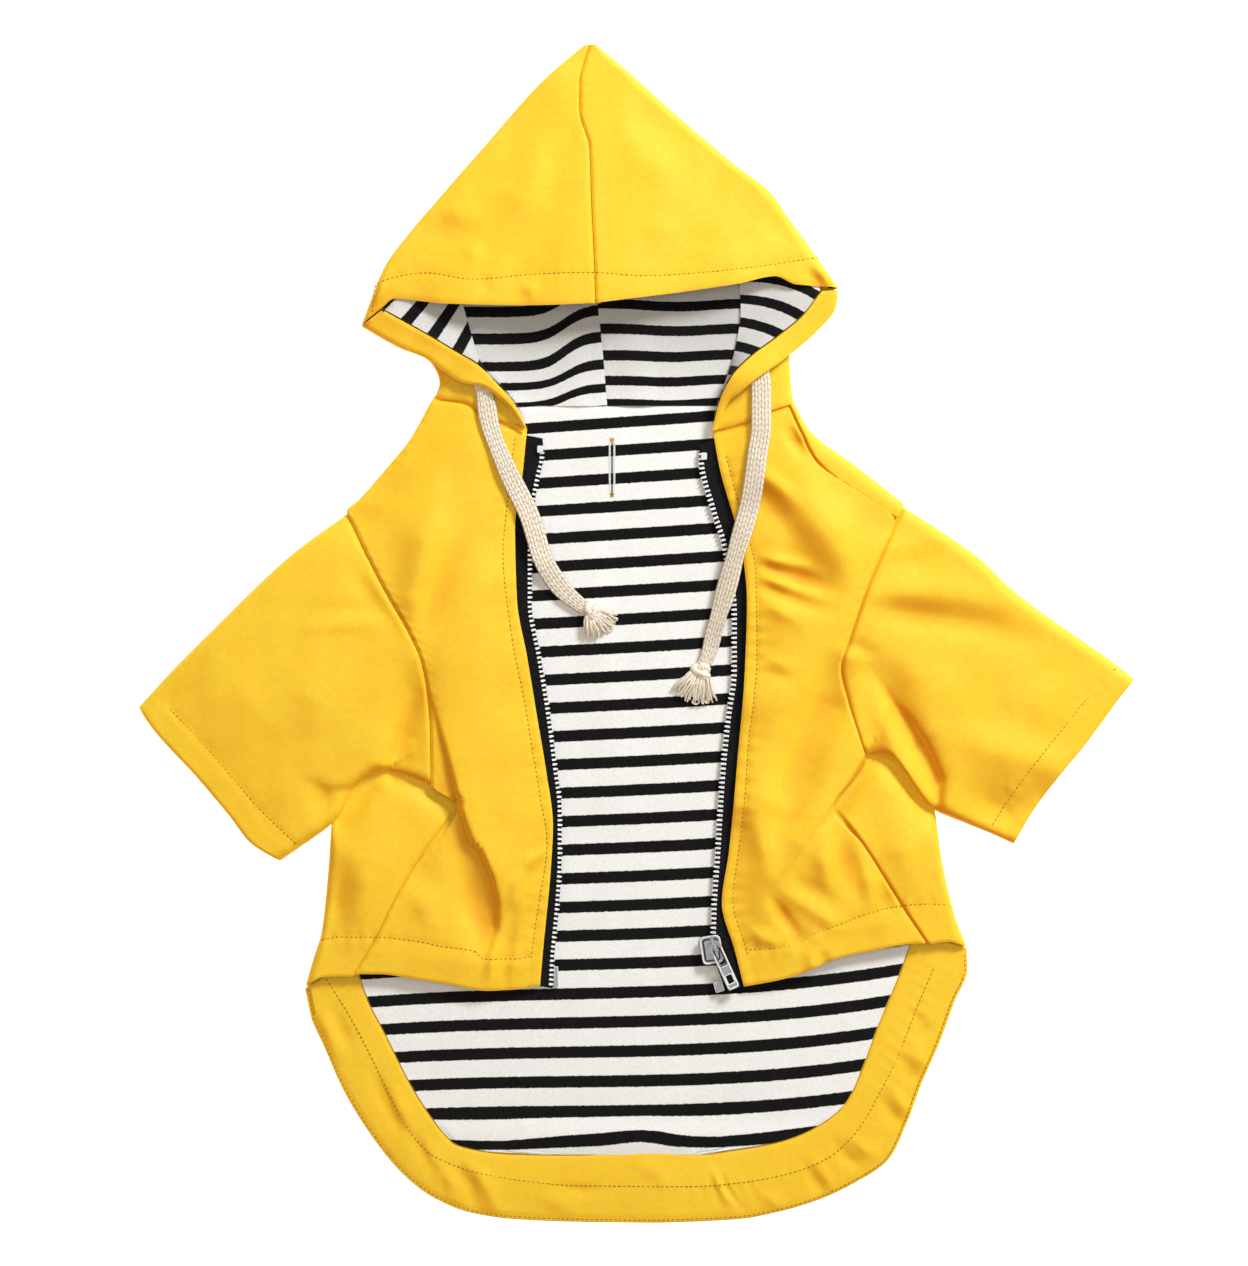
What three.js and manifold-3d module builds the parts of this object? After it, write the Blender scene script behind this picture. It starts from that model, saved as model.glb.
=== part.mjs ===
// A dog raincoat laid flat on its back, hood up, the front zip open.
// Millimetres. +X to the viewer's right, +Y towards the point of the hood, +Z up.
// The underside rests at z = 0 and the origin is under the middle of the coat.
import * as THREE from 'three';
import { mergeVertices } from 'three/addons/utils/BufferGeometryUtils.js';
import Module from 'manifold-3d';

const wasm = await Module();
wasm.setup();

// Sizes
const shellWall = 1.2;
const liningWall = 1.0;
const facingWall = 1.2;
const foldedWall = 2.2;
const tapeWall = 1.0;
const seamGap = 0.3;
const foldRadius = 6;
const lowestTop = 3.4;
const liningZ = shellWall + seamGap;
const liningTop = liningZ + liningWall;
const facingTop = liningZ + facingWall;
const tapeZ = 3.6;
const tapeTop = tapeZ + tapeWall;
const cordWide = 10;
const cordThick = 2.3;
const cordClear = 0.7;

// Short tables: a line of column names, then a row for each point
const table = (names, rows) => {
  const keys = names.split(' ');
  return rows.map((row) => Object.fromEntries(keys.map((key, i) => [key, row[i]])));
};

// Edge lines in plan, from the neck or the point down to the hem
const hoodPoint = table('x y', [[-25.5, 295.25], [-23, 295.25]]);
const hoodSlopeLeft = table('x y', [
  [-26.5, 294.75], [-48.5, 275.25], [-75, 245.25], [-98, 218.75], [-115, 198.75], [-125.5, 184.25],
  [-133.5, 165.25], [-137.5, 154.75],
]);
const hoodSlopeRight = table('x y', [
  [-19.5, 294.75], [-4, 281.75], [18, 261.75], [51, 233.75], [67.5, 220.75], [76, 208.75],
  [89, 190.75], [101.5, 173.25],
]);
const hoodCentre = table('x y', [
  [-23, 295.25], [-28, 274.25], [-28, 261.75], [-23, 242.25], [-22, 213.75], [-20.5, 182.25],
  [-20, 164.25],
]);
const mouthLeft = table('x y', [
  [-137.5, 154.75], [-127, 162.75], [-120.5, 167.25], [-93.5, 164.25], [-48.5, 163.25],
  [-20, 164.25],
]);
const mouthRight = table('x y', [
  [101.5, 173.25], [80, 174.25], [69.5, 178.25], [51, 174.25], [18, 169.25], [-20, 164.25],
]);
const cheekOutLeft = table('x y', [
  [-137.5, 153.75], [-119, 143.25], [-104, 136.75], [-98.5, 125.75], [-101, 117.75],
]);
const cheekInLeft = table('x y', [
  [-127.5, 161.25], [-112.5, 152.75], [-104.5, 148.25], [-91, 140.25], [-78, 132.25],
  [-68, 122.75], [-61.5, 115.25], [-55.5, 103.25],
]);
const cheekOutRight = table('x y', [
  [101.5, 171.75], [100.5, 164.25], [96.5, 157.25], [77, 140.75], [78, 121.25], [79.5, 115.25],
]);
const cheekInRight = table('x y', [
  [93, 171.25], [84, 158.75], [69.5, 146.75], [57.5, 137.75], [47.5, 127.25], [42, 115.25],
  [39, 101.75],
]);
const neckLeft = table('x y', [
  [-101, 117.25], [-87, 115.75], [-69.5, 106.25], [-55, 101.75],
]);
const neckRight = table('x y', [[79.5, 114.75], [68, 110.75], [52, 103.75], [38.5, 99.75]]);
const bandUpLeft = table('x y', [
  [-127, 161.75], [-112.5, 153.75], [-104.5, 149.25], [-91, 141.25], [-78, 133.25], [-68, 123.25],
  [-61, 115.25], [-54.5, 102.75],
]);
const bandLowLeft = table('x y', [
  [-136.5, 153.75], [-119, 143.75], [-104.5, 137.25], [-100.5, 134.25], [-85.5, 124.75],
  [-78, 123.75], [-70, 118.75], [-62, 111.25], [-56.5, 103.25],
]);
const bandUpRight = table('x y', [
  [92.5, 170.75], [84, 159.25], [69.5, 147.25], [57.5, 138.25], [47.5, 127.75], [41.5, 115.25],
  [38, 101.25],
]);
const bandLowRight = table('x y', [
  [101, 170.75], [100, 164.25], [96, 157.25], [73, 136.25], [59, 126.25], [52, 120.25],
  [46.5, 115.75], [40.5, 101.75],
]);
const valleyLeft = table('x y', [
  [-87, 165.75], [-83, 151.75], [-77.5, 135.75], [-68, 125.25], [-60, 116.25],
]);
const valleyRight = table('x y', [
  [52, 171.75], [52.5, 161.75], [50, 144.25], [45.5, 128.75], [41, 116.75],
]);
const frontOutLeft = table('x y', [
  [-101, 116.75], [-113.5, 96.75], [-125.5, 82.25], [-139, 66.75], [-145, 61.25], [-142, 56.25],
  [-134.5, 40.25], [-125, 21.75], [-112.5, -0.25], [-106.5, -14.75], [-103.5, -33.75],
  [-102.5, -53.25], [-102.5, -76.25], [-89.5, -86.25], [-111, -117.25], [-122.5, -137.25],
  [-129.5, -151.75], [-140.5, -170.25],
]);
const frontInLeft = table('x y', [
  [-54.5, 100.25], [-57, 77.75], [-60.5, 52.75], [-59.5, 16.75], [-54.5, -11.25], [-49.5, -41.25],
  [-45, -68.25], [-41.5, -96.25], [-42.5, -116.25], [-46.5, -158.75], [-48, -176.25],
]);
const frontHemLeft = table('x y', [
  [-140.5, -170.75], [-128, -170.75], [-110, -173.25], [-93.5, -175.75], [-74.5, -178.75],
  [-60.5, -178.25], [-48, -176.25],
]);
const frontOutRight = table('x y', [
  [75.5, 113.25], [82, 100.75], [89.5, 86.25], [129.5, 56.25], [122.5, 40.25], [115.5, 23.75],
  [106.5, -3.25], [102.5, -17.25], [106, -33.75], [113, -56.25], [115, -63.25], [99, -86.75],
  [113.5, -105.75], [128, -128.75], [133, -136.75], [145, -154.75],
]);
const frontInRight = table('x y', [
  [38.5, 99.25], [42, 82.25], [49, 57.75], [53, 41.75], [55.5, 16.75], [54.5, -16.75],
  [50.5, -66.25], [46.5, -109.25], [43, -134.75], [49.5, -158.75], [54, -176.75],
]);
const frontHemRight = table('x y', [
  [145, -155.25], [136.5, -155.75], [119.5, -158.75], [102, -162.25], [91, -166.75],
  [74.5, -172.75], [54, -176.75],
]);
const sleeveTopLeft = table('x y', [
  [-145.5, 61.25], [-174, 38.25], [-209.5, 4.25], [-233, -19.25], [-249, -36.75],
]);
const sleeveLowLeft = table('x y', [
  [-103, -76.75], [-126.5, -68.75], [-141.5, -77.25], [-149, -91.75], [-168.5, -107.25],
  [-178, -113.75],
]);
const cuffLeft = table('x y', [
  [-249, -36.75], [-241.5, -47.75], [-219.5, -71.75], [-203.5, -90.75], [-192.5, -104.75],
  [-178, -113.75],
]);
const armholeLeft = table('x y', [
  [-145.5, 61.25], [-135, 40.25], [-125.5, 21.75], [-113, -0.25], [-107, -14.75], [-104, -33.75],
  [-103, -53.25], [-103, -76.75],
]);
const sleeveTopRight = table('x y', [
  [134.5, 64.75], [173, 36.75], [188, 22.25], [240, -15.25], [249.5, -22.75],
]);
const sleeveLowRight = table('x y', [
  [115.5, -61.75], [122, -60.75], [147.5, -87.25], [165.5, -95.25], [178, -100.25], [189, -105.25],
]);
const cuffRight = table('x y', [
  [249.5, -22.75], [243, -30.75], [224, -56.25], [211.5, -71.25], [197.5, -90.75], [189, -105.25],
]);
const armholeRight = table('x y', [
  [134.5, 64.75], [128.5, 52.75], [123, 40.25], [116, 23.75], [107, -3.25], [103, -17.25],
  [106.5, -33.75], [113.5, -56.25], [115.5, -61.75],
]);
const sideFoldLeft = table('x y', [
  [-149, -92.75], [-154, -116.25], [-157.5, -149.25], [-161.5, -162.25], [-165.5, -176.25],
]);
const underarmLeft = table('x y', [
  [-90, -87.25], [-103, -77.75], [-120, -70.75], [-126.5, -69.75], [-137, -79.75],
  [-148.5, -92.75],
]);
const sideSeamLeft = table('x y', [
  [-90, -87.25], [-111.5, -117.75], [-123, -137.75], [-130, -152.25], [-141, -170.25],
]);
const sideHemLeft = table('x y', [[-141, -170.75], [-155, -171.75], [-165, -176.25]]);
const sideFoldRight = table('x y', [
  [147.5, -88.25], [153, -111.75], [160, -141.75], [165.5, -156.25],
]);
const underarmRight = table('x y', [
  [99.5, -87.25], [116, -63.75], [122, -62.25], [147.5, -88.25],
]);
const sideSeamRight = table('x y', [
  [99.5, -87.25], [114, -106.25], [128.5, -129.25], [133.5, -137.25], [145.5, -154.75],
]);
const sideHemRight = table('x y', [[145.5, -154.75], [155.5, -154.25], [165.5, -156.25]]);
const shoulderFold = table('x y', [[80, 114.25], [87.5, 101.75], [111, 83.75], [134.5, 65.25]]);
const shoulderSeam = table('x y', [[76, 113.25], [82.5, 100.75], [90, 86.25], [130, 56.75]]);
const scoopLeft = table('x y', [
  [-166, -178.25], [-163.5, -191.25], [-156.5, -207.25], [-147, -228.75], [-134, -250.25],
  [-118, -270.25], [-103, -282.25], [-84.5, -290.25], [-63, -293.75], [-30.5, -295.25],
  [9.5, -295.75],
]);
const scoopRight = table('x y', [
  [166, -158.25], [166.5, -168.25], [160, -184.75], [152.5, -205.25], [143.5, -225.75],
  [136, -245.75], [127, -263.75], [110.5, -275.25], [91.5, -284.25], [73.5, -289.75],
  [53, -293.75], [27.5, -295.25], [9.5, -295.75],
]);
const borderLeft = table('x y', [
  [-142, -163.25], [-134, -185.75], [-127, -199.25], [-115, -223.25], [-107, -236.75],
  [-95, -252.75], [-90, -256.75], [-64, -261.25], [-30.5, -261.75], [9.5, -259.25],
]);
const borderRight = table('x y', [
  [140, -149.25], [132, -172.25], [122, -196.25], [114, -217.75], [105.5, -235.75],
  [91.5, -247.25], [73.5, -254.75], [53, -258.75], [34, -260.75], [9.5, -259.25],
]);

// How high the top layer lies, and how far each height reaches
const heights = table('x y z reach', [
  [-54.5, 100.25, 6.3, 9], [-59, 76.75, 6.2, 10], [-60.5, 46.75, 6.2, 12], [-58, 6.75, 6.2, 12],
  [-51.5, -33.25, 6.2, 12], [-44, -73.25, 6.2, 12], [-42, -108.25, 6.2, 12],
  [-45.5, -148.25, 6.2, 10], [-48, -176.25, 6.2, 10], [38.5, 98.75, 6.3, 9],
  [46.5, 66.75, 6.2, 12], [54.5, 31.75, 6.2, 12], [55, -8.25, 6.2, 12], [51, -58.25, 6.2, 12],
  [46.5, -108.25, 6.2, 10], [43, -134.75, 6.2, 10], [48.5, -155.75, 6.2, 9], [54, -176.75, 6.2, 9],
  [-101, 115.75, 5.5, 10], [-112, 98.75, 4.4, 9], [-125.5, 82.25, 4.2, 9], [-143, 63.25, 5.5, 9],
  [-93, 81.75, 10.5, 18], [-90.5, 36.75, 12, 20], [-83, -8.25, 12, 20], [-75.5, -53.25, 12.5, 20],
  [-70.5, -98.25, 12, 18], [-73, -143.25, 9.5, 16], [-105.5, -155.75, 9, 16],
  [-118, -133.25, 9.5, 14], [-103, -175.75, 8, 10], [-120.5, 26.75, 10, 14],
  [-105.5, -28.25, 10, 12], [-103, -73.25, 10.5, 10], [-173, 6.75, 11, 22],
  [-198, -23.25, 10.5, 22], [-223, -43.25, 9.5, 16], [-238, -39.25, 8, 12],
  [-153, -33.25, 11.5, 22], [-183, -78.25, 10.5, 18], [-153, -78.25, 10, 14],
  [-195.5, -93.25, 8.5, 12], [-148, 31.75, 10, 16], [-133, -108.25, 9.5, 14],
  [-150.5, -133.25, 9, 14], [-153, -163.25, 8, 12], [-108, -93.25, 9, 9], [82, 96.75, 9, 10],
  [107, 81.75, 8.5, 12], [132, 61.75, 7, 10], [72, 76.75, 11, 16], [87, 31.75, 13, 20],
  [82, -13.25, 12.5, 20], [79.5, -63.25, 12, 18], [77, -108.25, 11.5, 16], [82, -148.25, 9.5, 14],
  [107, -133.25, 10, 14], [112, -158.25, 8, 10], [77, -172.25, 7.5, 10], [117, 31.75, 10.5, 12],
  [104.5, -13.25, 10, 12], [113, -55.75, 10.5, 10], [162, 21.75, 10.5, 20],
  [202, -13.25, 10.5, 20], [232, -28.25, 8.5, 14], [147, -23.25, 11.5, 20], [177, -58.25, 11, 18],
  [207, -63.25, 8.5, 12], [167, -88.25, 10, 14], [132, -63.25, 10.5, 12], [189.5, -93.25, 8.5, 12],
  [132, -108.25, 9.5, 14], [149.5, -138.25, 8.5, 12], [157, -153.25, 7.5, 10],
  [117, -83.25, 9.5, 9], [-23, 293.75, 3.6, 8], [-25, 279.25, 6.5, 12], [-24, 256.75, 10, 16],
  [-23, 226.75, 14, 20], [-21.5, 196.75, 18, 20], [-20, 166.75, 21, 18], [-53, 261.75, 6.5, 12],
  [-73, 236.75, 8, 14], [-98, 209.25, 9, 14], [-68, 204.25, 13, 20], [-108, 184.25, 11, 14],
  [-78, 171.75, 17, 16], [-120.5, 166.75, 10.5, 10], [-134, 157.75, 7.2, 7], [12, 261.75, 7, 12],
  [42, 234.25, 8.5, 14], [67, 214.25, 9, 12], [27, 209.25, 13.5, 20], [77, 191.75, 11, 14],
  [37, 176.75, 17, 16], [77, 176.75, 12.5, 10], [98, 173.25, 7.2, 7], [-118, 147.75, 6.6, 9],
  [-98, 135.75, 6.8, 9], [-83, 124.25, 7.2, 9], [-65.5, 111.75, 6.8, 9], [92, 160.75, 6.6, 9],
  [72, 141.75, 7.2, 10], [62, 124.25, 8, 10], [46, 111.75, 6.8, 9],
]);

// The largest folds: each is a line of points with its half width and height
const folds = [
  table('x y wide high', [
  [-98, -33.25, 9, 0], [-93, -63.25, 9, 2.2], [-85, -102.25, 8, 3.4], [-75, -121.25, 8, 3],
  [-68, -143.25, 7, 0],
]),
  table('x y wide high', [
  [-98, -83.25, 6, 0], [-89.5, -103.25, 6, -2.6], [-82, -125.25, 6, -3.2],
  [-77.5, -146.25, 5, -2.6], [-76, -165.75, 4, 0],
]),
  table('x y wide high', [
  [-108, -13.25, 6, 0], [-111, -28.25, 6, -2.4], [-117.5, -49.75, 7, -3], [-124.5, -67.25, 6, 0],
]),
  table('x y wide high', [
  [57, 89.25, 8, 0], [75.5, 67.25, 8, 2.4], [100, 40.25, 9, 2], [110.5, 14.75, 9, 0],
]),
  table('x y wide high', [
  [67, 44.25, 9, 0], [84.5, 29.25, 9, -2.6], [104.5, 16.75, 8, 0],
]),
  table('x y wide high', [
  [103, -8.25, 9, 0], [94.5, -33.75, 9, -3.2], [84, -46.25, 9, -3.2], [75.5, -70.75, 8, -2],
  [70, -84.75, 7, 0],
]),
  table('x y wide high', [
  [99.5, -83.25, 9, 0], [82, -105.75, 8, 2.6], [68, -128.25, 7, 0],
]),
  table('x y wide high', [
  [113.5, -8.25, 7, 0], [122.5, -22.75, 7, -3], [129.5, -39.25, 7, -4], [140, -56.75, 7, -4],
  [150.5, -78.25, 6, 0],
]),
  table('x y wide high', [
  [134.5, -28.25, 8, 0], [144.5, -50.75, 8, 3], [153, -73.25, 7, 0],
]),
  table('x y wide high', [
  [-168, -13.25, 14, 0], [-193, -33.25, 14, 2], [-215.5, -55.75, 12, 0],
]),
];

// Smooth value through table points, with no overshoot
function smooth(ts, vs) {
  const n = ts.length;
  const slope = [];
  for (let i = 0; i < n - 1; i += 1) slope.push((vs[i + 1] - vs[i]) / Math.max(ts[i + 1] - ts[i], 1e-9));
  const tangent = slope.map((s, i) => {
    if (i === 0 || s * slope[i - 1] <= 0) return i === 0 ? s : 0;
    return 2 / (1 / s + 1 / slope[i - 1]);
  });
  tangent.push(slope[n - 2]);
  return (t) => {
    let i = 0;
    while (i < n - 2 && t > ts[i + 1]) i += 1;
    const h = ts[i + 1] - ts[i];
    const u = Math.min(Math.max((t - ts[i]) / h, 0), 1);
    const a = 2 * u ** 3 - 3 * u ** 2 + 1;
    const b = u ** 3 - 2 * u ** 2 + u;
    const c = -2 * u ** 3 + 3 * u ** 2;
    const d = u ** 3 - u ** 2;
    return a * vs[i] + b * h * tangent[i] + c * vs[i + 1] + d * h * tangent[i + 1];
  };
}

// An edge line as a function of t from 0 to 1, by length along it or by its drop in y
function line(rows, by = 'length', shift = [0, 0]) {
  const run = [0];
  for (let i = 1; i < rows.length; i += 1) {
    const step = Math.hypot(rows[i].x - rows[i - 1].x, rows[i].y - rows[i - 1].y);
    run.push(run[i - 1] + (by === 'length' ? step : Math.max(rows[i - 1].y - rows[i].y, 1)));
  }
  const ts = run.map((v) => v / run[run.length - 1]);
  const fx = smooth(ts, rows.map((r) => r.x + shift[0]));
  const fy = smooth(ts, rows.map((r) => r.y + shift[1]));
  return (t) => [fx(t), fy(t)];
}

// Plan points between four edge lines; s runs across from left to right, t runs down
function patch(top, bottom, left, right) {
  const corner = [top(0), top(1), bottom(0), bottom(1)];
  return (s, t) => [0, 1].map((k) => {
    const down = (1 - t) * top(s)[k] + t * bottom(s)[k];
    const across = (1 - s) * left(t)[k] + s * right(t)[k];
    const bent = (1 - s) * (1 - t) * corner[0][k] + s * (1 - t) * corner[1][k]
      + (1 - s) * t * corner[2][k] + s * t * corner[3][k];
    return down + across - bent;
  });
}

// Height of the outside of the top layer over a point in plan
function topHeight(x, y) {
  let sum = 0;
  let weight = 0;
  for (const h of heights) {
    const far = ((x - h.x) ** 2 + (y - h.y) ** 2) / (2 * h.reach ** 2);
    const w = Math.exp(-far) + 1e-4 / (1 + far * far);
    sum += w * h.z;
    weight += w;
  }
  let z = sum / weight;
  for (const fold of folds) {
    let best = { d: Infinity };
    for (let i = 1; i < fold.length; i += 1) {
      const a = fold[i - 1];
      const b = fold[i];
      const dx = b.x - a.x;
      const dy = b.y - a.y;
      const u = Math.min(Math.max(((x - a.x) * dx + (y - a.y) * dy) / (dx * dx + dy * dy), 0), 1);
      const d = Math.hypot(x - a.x - u * dx, y - a.y - u * dy);
      if (d < best.d) best = { d, wide: a.wide + u * (b.wide - a.wide), high: a.high + u * (b.high - a.high) };
    }
    z += best.high * Math.exp(-(best.d ** 2) / (2 * best.wide ** 2));
  }
  return Math.max(z, lowestTop);
}

const sub = (a, b) => [a[0] - b[0], a[1] - b[1], a[2] - b[2]];
const cross = (a, b) => [a[1] * b[2] - a[2] * b[1], a[2] * b[0] - a[0] * b[2], a[0] * b[1] - a[1] * b[0]];

// Directions out of a grid of points, averaged from its faces
function outward(grid, ring) {
  const rows = grid.length;
  const cols = grid[0].length;
  const normals = grid.map((row) => row.map(() => [0, 0, 0]));
  const last = ring ? cols : cols - 1;
  for (let i = 0; i < rows - 1; i += 1) {
    for (let j = 0; j < last; j += 1) {
      const k = (j + 1) % cols;
      const n = cross(sub(grid[i + 1][k], grid[i][j]), sub(grid[i][k], grid[i + 1][j]));
      const size = Math.hypot(...n) || 1;
      for (const [a, b] of [[i, j], [i + 1, j], [i, k], [i + 1, k]]) {
        for (let m = 0; m < 3; m += 1) normals[a][b][m] += n[m] / Math.sqrt(size);
      }
    }
  }
  return normals.map((row) => row.map((n) => {
    const size = Math.hypot(...n) || 1;
    return n.map((v) => v / size);
  }));
}

function meshOf(points, faces) {
  const geometry = new THREE.BufferGeometry();
  geometry.setAttribute('position', new THREE.Float32BufferAttribute(points.flat(), 3));
  let volume = 0;
  for (const [a, b, c] of faces) {
    const n = cross(points[b], points[c]);
    volume += points[a][0] * n[0] + points[a][1] * n[1] + points[a][2] * n[2];
  }
  geometry.setIndex(faces.flatMap(([a, b, c]) => (volume < 0 ? [a, c, b] : [a, b, c])));
  return geometry;
}

// A cloth wall from a grid of outside points; the inside lies one wall in from them
function cloth(grid, wall, ring = false) {
  const rows = grid.length;
  const cols = grid[0].length;
  let normals = outward(grid, ring);
  const mid = [Math.floor(rows / 2), Math.floor(cols / 4)];
  if (normals[mid[0]][mid[1]][2] < 0) normals = normals.map((row) => row.map((n) => n.map((v) => -v)));
  const inner = grid.map((row, i) => row.map((p, j) => p.map((v, k) => v - normals[i][j][k] * wall)));
  return wallBetween(grid, inner, ring);
}

// A closed solid between two grids of points
function wallBetween(outer, inner, ring = false) {
  const rows = outer.length;
  const cols = outer[0].length;
  const points = [...outer.flat(), ...inner.flat()];
  const at = (side, i, j) => side * rows * cols + i * cols + (j % cols);
  const faces = [];
  const quad = (a, b, c, d) => faces.push([a, b, c], [a, c, d]);
  const last = ring ? cols : cols - 1;
  for (let i = 0; i < rows - 1; i += 1) {
    for (let j = 0; j < last; j += 1) {
      quad(at(0, i, j), at(0, i, j + 1), at(0, i + 1, j + 1), at(0, i + 1, j));
      quad(at(1, i, j), at(1, i + 1, j), at(1, i + 1, j + 1), at(1, i, j + 1));
    }
  }
  for (let j = 0; j < last; j += 1) {
    quad(at(0, 0, j), at(1, 0, j), at(1, 0, j + 1), at(0, 0, j + 1));
    quad(at(0, rows - 1, j), at(0, rows - 1, j + 1), at(1, rows - 1, j + 1), at(1, rows - 1, j));
  }
  for (let i = 0; !ring && i < rows - 1; i += 1) {
    quad(at(0, i, 0), at(0, i + 1, 0), at(1, i + 1, 0), at(1, i, 0));
    quad(at(0, i, cols - 1), at(1, i, cols - 1), at(1, i + 1, cols - 1), at(0, i + 1, cols - 1));
  }
  return meshOf(points, faces);
}

const steps = (count, from = 0, to = 1) => Array.from({ length: count + 1 }, (_, i) => from + (to - from) * i / count);

// The outside points of a top layer: its plan raised to the height of the coat
const raised = (plan, across, down) => down.map((t) => across.map((s) => {
  const [x, y] = plan(s, t);
  return [x, y, topHeight(x, y)];
}));

// An upright block over the plan of a grid, grown by a gap all round
function footprint(grid, gap) {
  const ring = [
    ...grid[0], ...grid.slice(1, -1).map((row) => row[row.length - 1]),
    ...grid[grid.length - 1].slice().reverse(), ...grid.slice(1, -1).reverse().map((row) => row[0]),
  ];
  const n = ring.length;
  const area = ring.reduce((sum, p, i) => sum + p[0] * ring[(i + 1) % n][1] - p[1] * ring[(i + 1) % n][0], 0);
  const turn = Math.sign(area);
  const wide = ring.map((p, i) => {
    const a = ring[(i + n - 1) % n];
    const b = ring[(i + 1) % n];
    const u = [p[0] - a[0], p[1] - a[1]];
    const v = [b[0] - p[0], b[1] - p[1]];
    const nu = [u[1] / Math.hypot(...u), -u[0] / Math.hypot(...u)];
    const nv = [v[1] / Math.hypot(...v), -v[0] / Math.hypot(...v)];
    const reach = gap * turn / Math.max(0.5 + 0.5 * (nu[0] * nv[0] + nu[1] * nv[1]), 0.3);
    return [p[0] + (nu[0] + nv[0]) / 2 * reach, p[1] + (nu[1] + nv[1]) / 2 * reach];
  });
  return plate(wide, liningTop, 40);
}

// One row round a folded edge: s = 0 is the inner edge and s = 1 the fold
function foldedRow(plan, t, across, under, height, lowest) {
  const inner = plan(0, t);
  const edge = plan(1, t);
  const width = Math.hypot(edge[0] - inner[0], edge[1] - inner[1]);
  const radius = Math.min(foldRadius, 0.45 * width);
  const flat = 1 - radius / width;
  const turn = [60, 30, 0].map((deg) => deg * Math.PI / 180);
  const row = across.map((s) => {
    const [x, y] = plan(s * flat, t);
    return [x, y, height(x, y)];
  });
  const bend = (angle, over) => {
    const [x, y] = plan(1 - radius * (1 - Math.cos(angle)) / width, t);
    const high = height(x, y);
    return [x, y, high / 2 + (over ? 1 : -1) * high / 2 * Math.sin(angle)];
  };
  turn.forEach((angle) => row.push(bend(angle, true)));
  turn.slice(0, 2).reverse().forEach((angle) => row.push(bend(angle, false)));
  under.forEach((s) => {
    const [x, y] = plan(s * flat, t);
    row.push([x, Math.max(y, lowest), 0]);
  });
  return row;
}

const foldedLayer = (plan, across, under, down, wall, lowest = -Infinity) => (
  cloth(down.map((t) => foldedRow(plan, t, across, under, topHeight, lowest)), wall));

// A sleeve laid flat: one ring for each t, from the armhole to the cuff
function sleeve(plan, across, down, wall) {
  return cloth(down.map((t) => {
    const a = plan(0, t);
    const b = plan(1, t);
    const width = Math.hypot(b[0] - a[0], b[1] - a[1]);
    const r = Math.min(foldRadius, 0.4 * width) / width;
    const turn = [0, 30, 60].map((deg) => deg * Math.PI / 180);
    const stations = [
      ...turn.map((angle) => [r * (1 - Math.cos(angle)), Math.sin(angle)]),
      ...across.map((s) => [r + s * (1 - 2 * r), 1]),
      ...turn.slice().reverse().map((angle) => [1 - r * (1 - Math.cos(angle)), Math.sin(angle)]),
    ];
    const top = stations.map(([s, rise]) => {
      const [x, y] = plan(s, t);
      const high = topHeight(x, y);
      return [x, y, high / 2 + high / 2 * rise];
    });
    const low = stations.slice(1, -1).reverse().map(([s, rise]) => {
      const [x, y] = plan(s, t);
      return [x, y, topHeight(x, y) / 2 * (1 - rise)];
    });
    return [...top, ...low];
  }), wall, true);
}

// A flat sheet with an outline in plan
function plate(outline, z, thick) {
  const shape = new THREE.Shape(outline.map(([x, y]) => new THREE.Vector2(x, y)));
  const geometry = new THREE.ExtrudeGeometry(shape, { depth: thick, bevelEnabled: false });
  geometry.translate(0, 0, z);
  return geometry;
}

// Joins that need a boolean
function solidOf(geometry) {
  const bare = geometry.clone();
  bare.deleteAttribute('normal');
  bare.deleteAttribute('uv');
  const merged = mergeVertices(bare, 1e-4);
  return new wasm.Manifold(new wasm.Mesh({
    numProp: 3,
    vertProperties: new Float32Array(merged.attributes.position.array),
    triVerts: new Uint32Array(merged.index.array),
  }));
}

function geometryOf(solid) {
  const mesh = solid.getMesh();
  const geometry = new THREE.BufferGeometry();
  geometry.setAttribute('position', new THREE.BufferAttribute(mesh.vertProperties, 3));
  geometry.setIndex(new THREE.BufferAttribute(mesh.triVerts, 1));
  return geometry;
}

const join = (...geometries) => geometryOf(geometries.map(solidOf).reduce((a, b) => a.add(b)));
const cut = (geometry, ...tools) => geometryOf(tools.map(solidOf).reduce((a, b) => a.subtract(b), solidOf(geometry)));

const trace = (curve, count, from = 0, to = 1) => steps(count, from, to).map((t) => curve(t));
const inset = (points, centre, by) => points.map(([x, y]) => {
  const far = Math.hypot(x - centre[0], y - centre[1]);
  return [x + (centre[0] - x) * by / far, y + (centre[1] - y) * by / far];
});

const coat = new THREE.Group();
coat.name = 'dog_raincoat';

const paint = {
  shell: { color: 0xfbc92f, roughness: 0.5, metalness: 0 },
  lining: { color: 0xe9e9e6, roughness: 0.9, metalness: 0 },
  tape: { color: 0x14161c, roughness: 0.9, metalness: 0 },
  metal: { color: 0xc9cbd0, roughness: 0.3, metalness: 1 },
  cord: { color: 0xf0e2cc, roughness: 0.95, metalness: 0 },
};

function add(name, geometry, colour) {
  const mesh = new THREE.Mesh(geometry, new THREE.MeshStandardMaterial(paint[colour]));
  mesh.name = name;
  coat.add(mesh);
  return mesh;
}

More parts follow.
